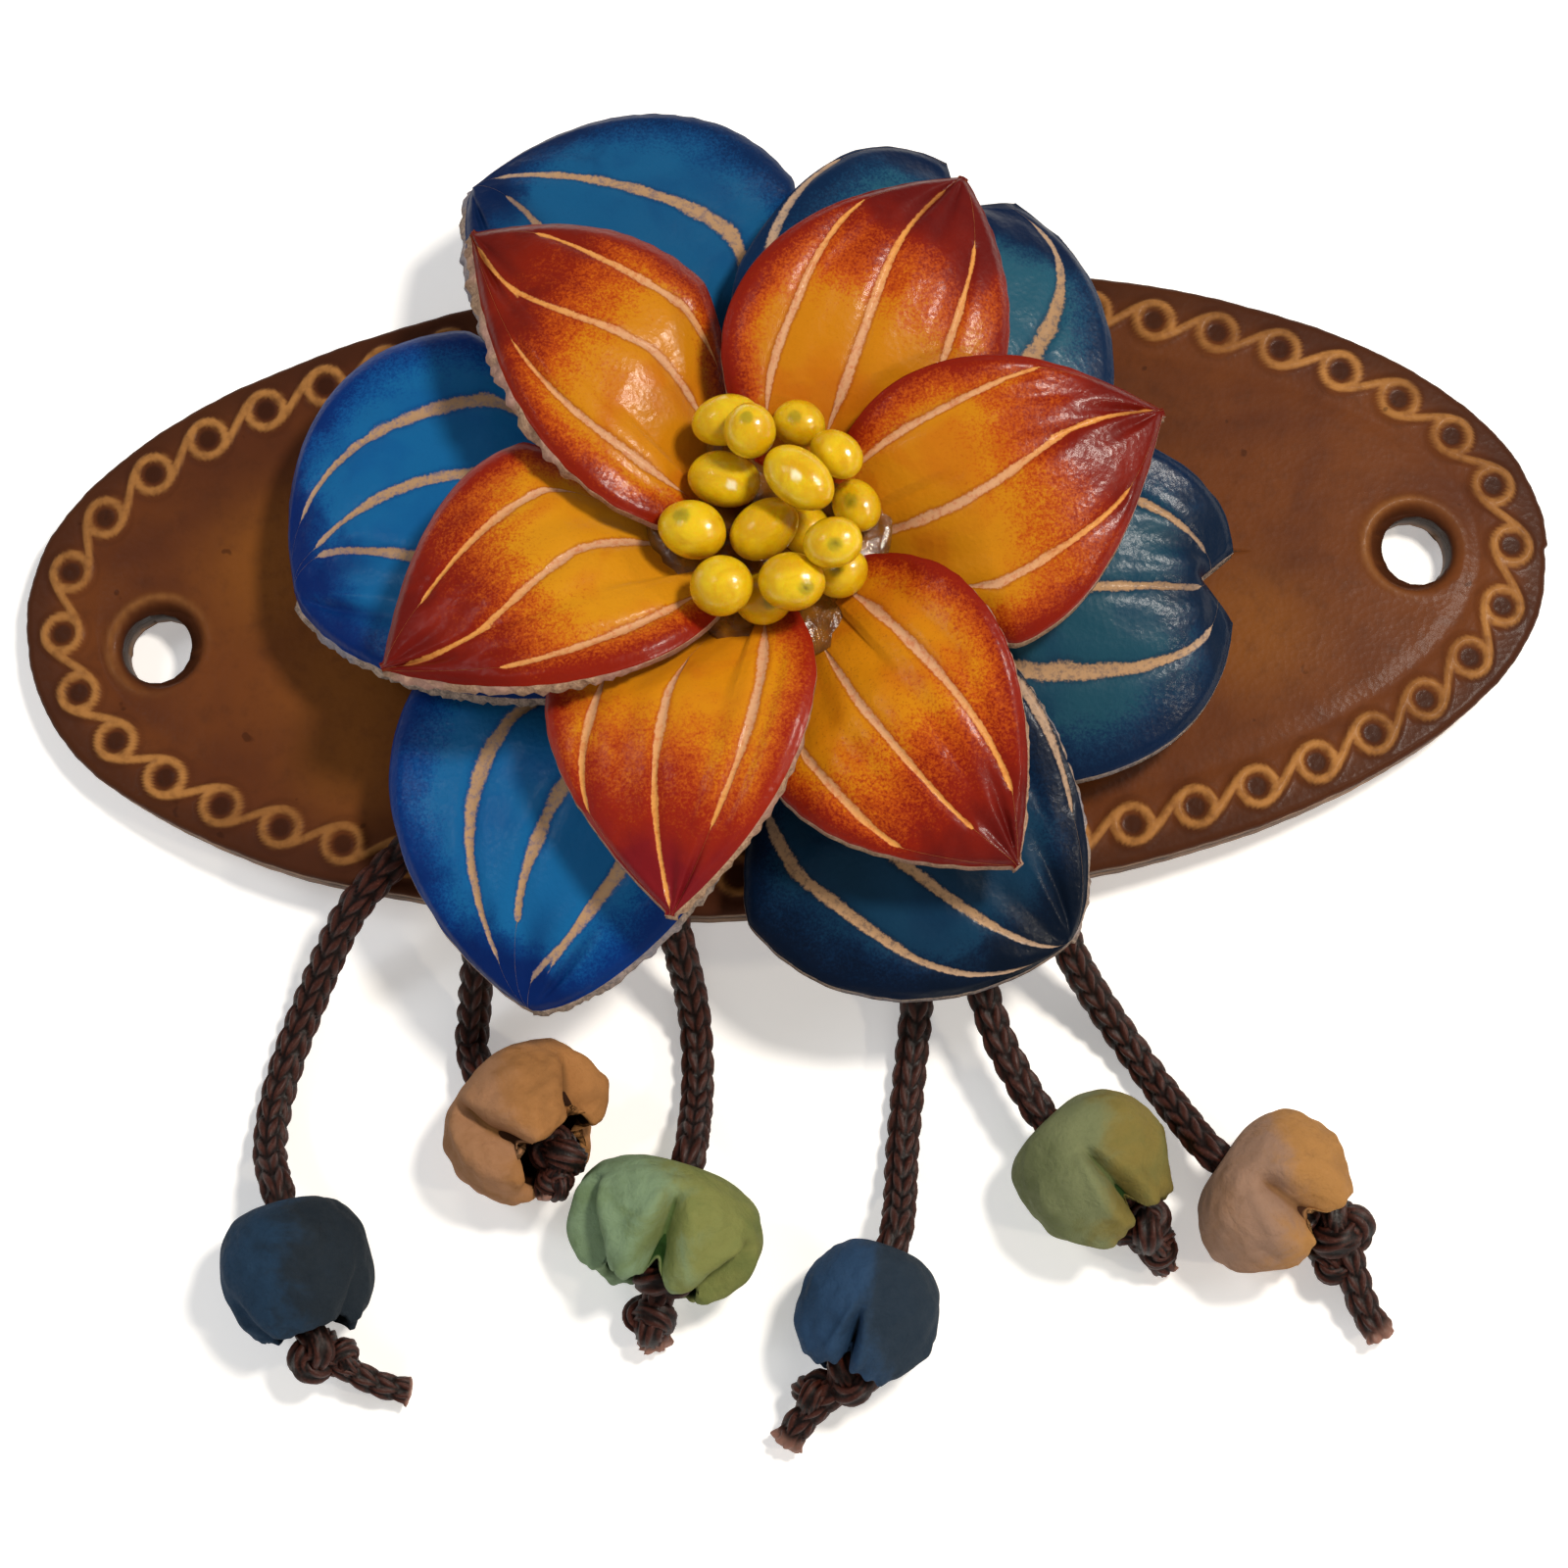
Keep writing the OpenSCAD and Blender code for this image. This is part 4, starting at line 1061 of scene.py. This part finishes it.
def make_bead(i):
    row = BEADS[i - 1]
    length, width, height = row[4:]
    shape_run = run_along(BEAD_SHAPE * [length, 1])
    at = np.linspace(0, shape_run[-1], 84)
    share = np.interp(at, shape_run, BEAD_SHAPE[:, 0])
    radius = np.interp(at, shape_run, BEAD_SHAPE[:, 1])
    for _ in range(3):
        for v in (share, radius):
            v[1:-1] = (v[:-2] + 2 * v[1:-1] + v[2:]) / 4
    mouth_at = shape_run[MOUTH]
    A, AT = np.meshgrid(np.linspace(0, 360, BEAD_COLS, endpoint=False), at)
    T = np.broadcast_to(share[:, None], A.shape).copy()
    R = np.broadcast_to(radius[:, None], A.shape).copy()
    outside = AT <= mouth_at
    slit = np.zeros(A.shape)
    pull = np.zeros(A.shape)
    for place, depth, start, wide in BEAD_SLITS[i - 1]:
        away = np.abs((A - place + 180) % 360 - 180)
        grown = smooth(T, start, 0.95)
        w = wide * (0.45 + 0.75 * grown)
        open_share = smooth(T, start - 0.05, start + 0.14) * outside
        cut = bell(away, w) * open_share * depth
        R -= R * 0.46 * cut * (0.5 + 0.5 * grown)
        R += 0.34 * bell(away - 2.2 * w, w * 0.9) * open_share * depth
        slit = np.maximum(slit, bell(away, w * 0.55) * open_share * smooth(depth, 0.3, 0.8))
        pull += bell(away, wide * 1.3) * depth * 0.2 * smooth(T, 0.55, 1.0)
    A = np.radians(A)
    R /= BEAD_WIDTH
    local = np.stack([length * (T - pull - 0.5), R * width * np.sin(A), R * height * np.cos(A)], -1)
    bumpy = 0.22 * waves(local, 6, 700 + i) + 0.07 * waves(local, 1.8, 710 + i)
    local += unit(local * [0.6, 1, 1]) * (bumpy * smooth(AT, 0.5, 3) * outside)[..., None]
    # The rough lip of the mouth.
    local[..., 0] += 0.25 * waves(local, 1.5, 720 + i) * bell(AT - mouth_at, 1.3)
    local[..., 2] = np.maximum(local[..., 2], -height / 2)
    points = local @ turn_matrix(row[2], -row[3]).T + bead_middle(row)
    # The side mark paints light on the side towards +x; the slit and inner marks paint shade in the slits and
    # inside the mouth.
    marks = {"slit": slit, "inner": smooth(AT - mouth_at, 0.2, 1.2),
             "side": smooth((points[..., 0] - row[0]) / (width / 2), -0.7, 0.7)}
    faces = ring_faces(len(at), BEAD_COLS)
    dye, *look = BEAD_DYES[i - 1]
    leather = bead_leather("bud_%s_%d" % (dye, i), *look)
    obj = build("bud_bead_%d_leather" % i, points.reshape(-1, 3), faces, [leather], None, marks)
    return own(obj, "bead_%s_leather" % dye, "bud_bead_%d" % i)


def knot_curve(centre, size, seed):
    """A small tied loop of cord that fills a lump of that size, turned at random."""
    t = np.linspace(0, 2 * np.pi, 30)
    loop = np.stack([np.sin(t) + 2 * np.sin(2 * t), np.cos(t) - 2 * np.cos(2 * t), -np.sin(3 * t) * 1.3], -1)
    turned, _ = np.linalg.qr(np.random.default_rng(seed).normal(size=(3, 3)))
    return centre + loop / 3.0 @ turned.T * size


def make_knot(i):
    main, d_main, second, d_second, tail, d_tail = KNOTS[i - 1]
    main, second, tail = (np.array(v, float) for v in (main, second, tail))
    # The first loop is drawn up into the bead's mouth.
    main -= 0.8 * bead_ahead(BEADS[i - 1])
    out = unit(tail - main)
    bend = np.array([out[1], -out[0], 0]) * 0.5
    route = np.array([main, main * 0.6 + tail * 0.4 + bend * 0.6, main * 0.25 + tail * 0.75 + bend,
                      tail + out * d_tail * 0.35])
    parts = [
        braided_tube(knot_curve(main, d_main * 0.32, 30 + i), d_main * 0.58, 0.18, 32, 1.9),
        braided_tube(knot_curve(second, d_second * 0.29, 40 + i), d_second * 0.6, 0.18, 32, 1.8),
        braided_tube(route, d_tail, 0.14, 40, 1.8, fray=1.6 if i in FRAYED else 0.6, seed=60 + i)]
    points = np.concatenate([part[0] for part in parts])
    points[:, 2] = np.maximum(points[:, 2], LOWEST)
    starts = np.cumsum([0] + [len(part[0]) for part in parts]).tolist()
    faces = [[v + start for v in face] for start, part in zip(starts, parts) for face in part[1]]
    marks = {key: np.concatenate([part[2][key] for part in parts]) for key in ("high", "frayed")}
    return own(build("knot_%d_tied" % i, points, faces, [CORD], None, marks), "cord_leather", "knot_%d" % i)


for i in range(6):
    cord, line = make_cord(i)
    bead = make_bead(i + 1)
    knot = make_knot(i + 1)


# The seat and stem under the petals keep their solid, and clear glue shows around the pearls.
def core_leather():
    s = Shader("core_leather", Specular_IOR_Level=0.2)
    s.colour(s.mix(s.span(s.noise(1.2, 5), 0.35, 0.65), "#5A3A22", "#8A6238"))
    s.rough(0.85)
    s.bumps((s.noise(0.5, 5, 0.7), 0.08))
    return s.material


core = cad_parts["flower_core"]
core.data.materials.clear()
core.data.materials.append(core_leather())
GLUE_R = 9.2
GLUE_Z = 24.7
GLUE_THICK = 0.7


def make_glue():
    rows, cols = 12, 72
    T, A = np.meshgrid(np.linspace(0.02, 1, rows), circle(cols), indexing="ij")
    r = GLUE_R * T * (1 + 0.1 * waves(np.stack([np.cos(A), np.sin(A)], -1), 1.1, 91))
    x, y = r * np.cos(A), r * np.sin(A)
    z = GLUE_Z - 0.5 * T**2 + 0.25 * waves(np.stack([x, y], -1), 2.2, 92)
    top = np.stack([FLOWER[0] + x, FLOWER[1] + y, z], -1)
    # The rows go outwards on top and back inwards below.
    points = np.concatenate([top, top[::-1] - [0, 0, GLUE_THICK]]).reshape(-1, 3)
    return own(build("glue", points, closed_faces(2 * rows, cols), [GLUE]), "pearl_yellow")


make_glue()


def make_floor():
    s = Shader("floor", Base_Color=linear("#FAF9F7"), Roughness=0.8, Specular_IOR_Level=0.1,
               Emission_Color=(1, 1, 1, 1), Emission_Strength=0.32)
    h, z = FLOOR_HALF, FLOOR_Z
    build("floor", [(-h, -h, z), (h, -h, z), (h, h, z), (-h, h, z)], [(0, 1, 2, 3)], [s.material])


FLOOR_HALF = 1200
FLOOR_Z = -0.1
make_floor()

AIM = Vector((0, -0.015, 0.01))


def lamp(name, place, size, power, colour):
    data = bpy.data.lights.new(name, "AREA")
    data.shape = "DISK"
    data.size = size
    data.energy = power
    data.color = colour
    obj = put_in_scene(name, data)
    obj.location = place
    obj.rotation_euler = (AIM - Vector(place)).to_track_quat("-Z", "Y").to_euler()
    return obj


# The key lights the leather from near above, and its highlights come from the glint further round.
lamp("key", (0.17, 0.05, 0.44), 0.07, 1.68, (1.0, 0.93, 0.84)).visible_glossy = False
lamp("glint", (0.29, 0.05, 0.38), 0.08, 2.0, (1.0, 0.93, 0.84)).visible_diffuse = False
lamp("side", (0.36, -0.19, 0.34), 0.035, 0.35, (1.0, 0.88, 0.7))
lamp("window", (-0.3, 0.1, 0.38), 0.05, 0.1, (0.92, 0.96, 1.0))
lamp("fill", (-0.4, 0.12, 0.45), 0.25, 0.7, (0.88, 0.93, 1.0)).visible_glossy = False
lamp("front", (0.05, -0.5, 0.35), 0.3, 0.5, (1.0, 0.95, 0.9)).visible_glossy = False
world = bpy.data.worlds.new("soft")
world.use_nodes = True
background = world.node_tree.nodes["Background"]
background.inputs["Color"].default_value = (1.0, 0.97, 0.94, 1)
background.inputs["Strength"].default_value = 0.2
bpy.context.scene.world = world
bpy.context.scene.view_settings.view_transform = "Standard"
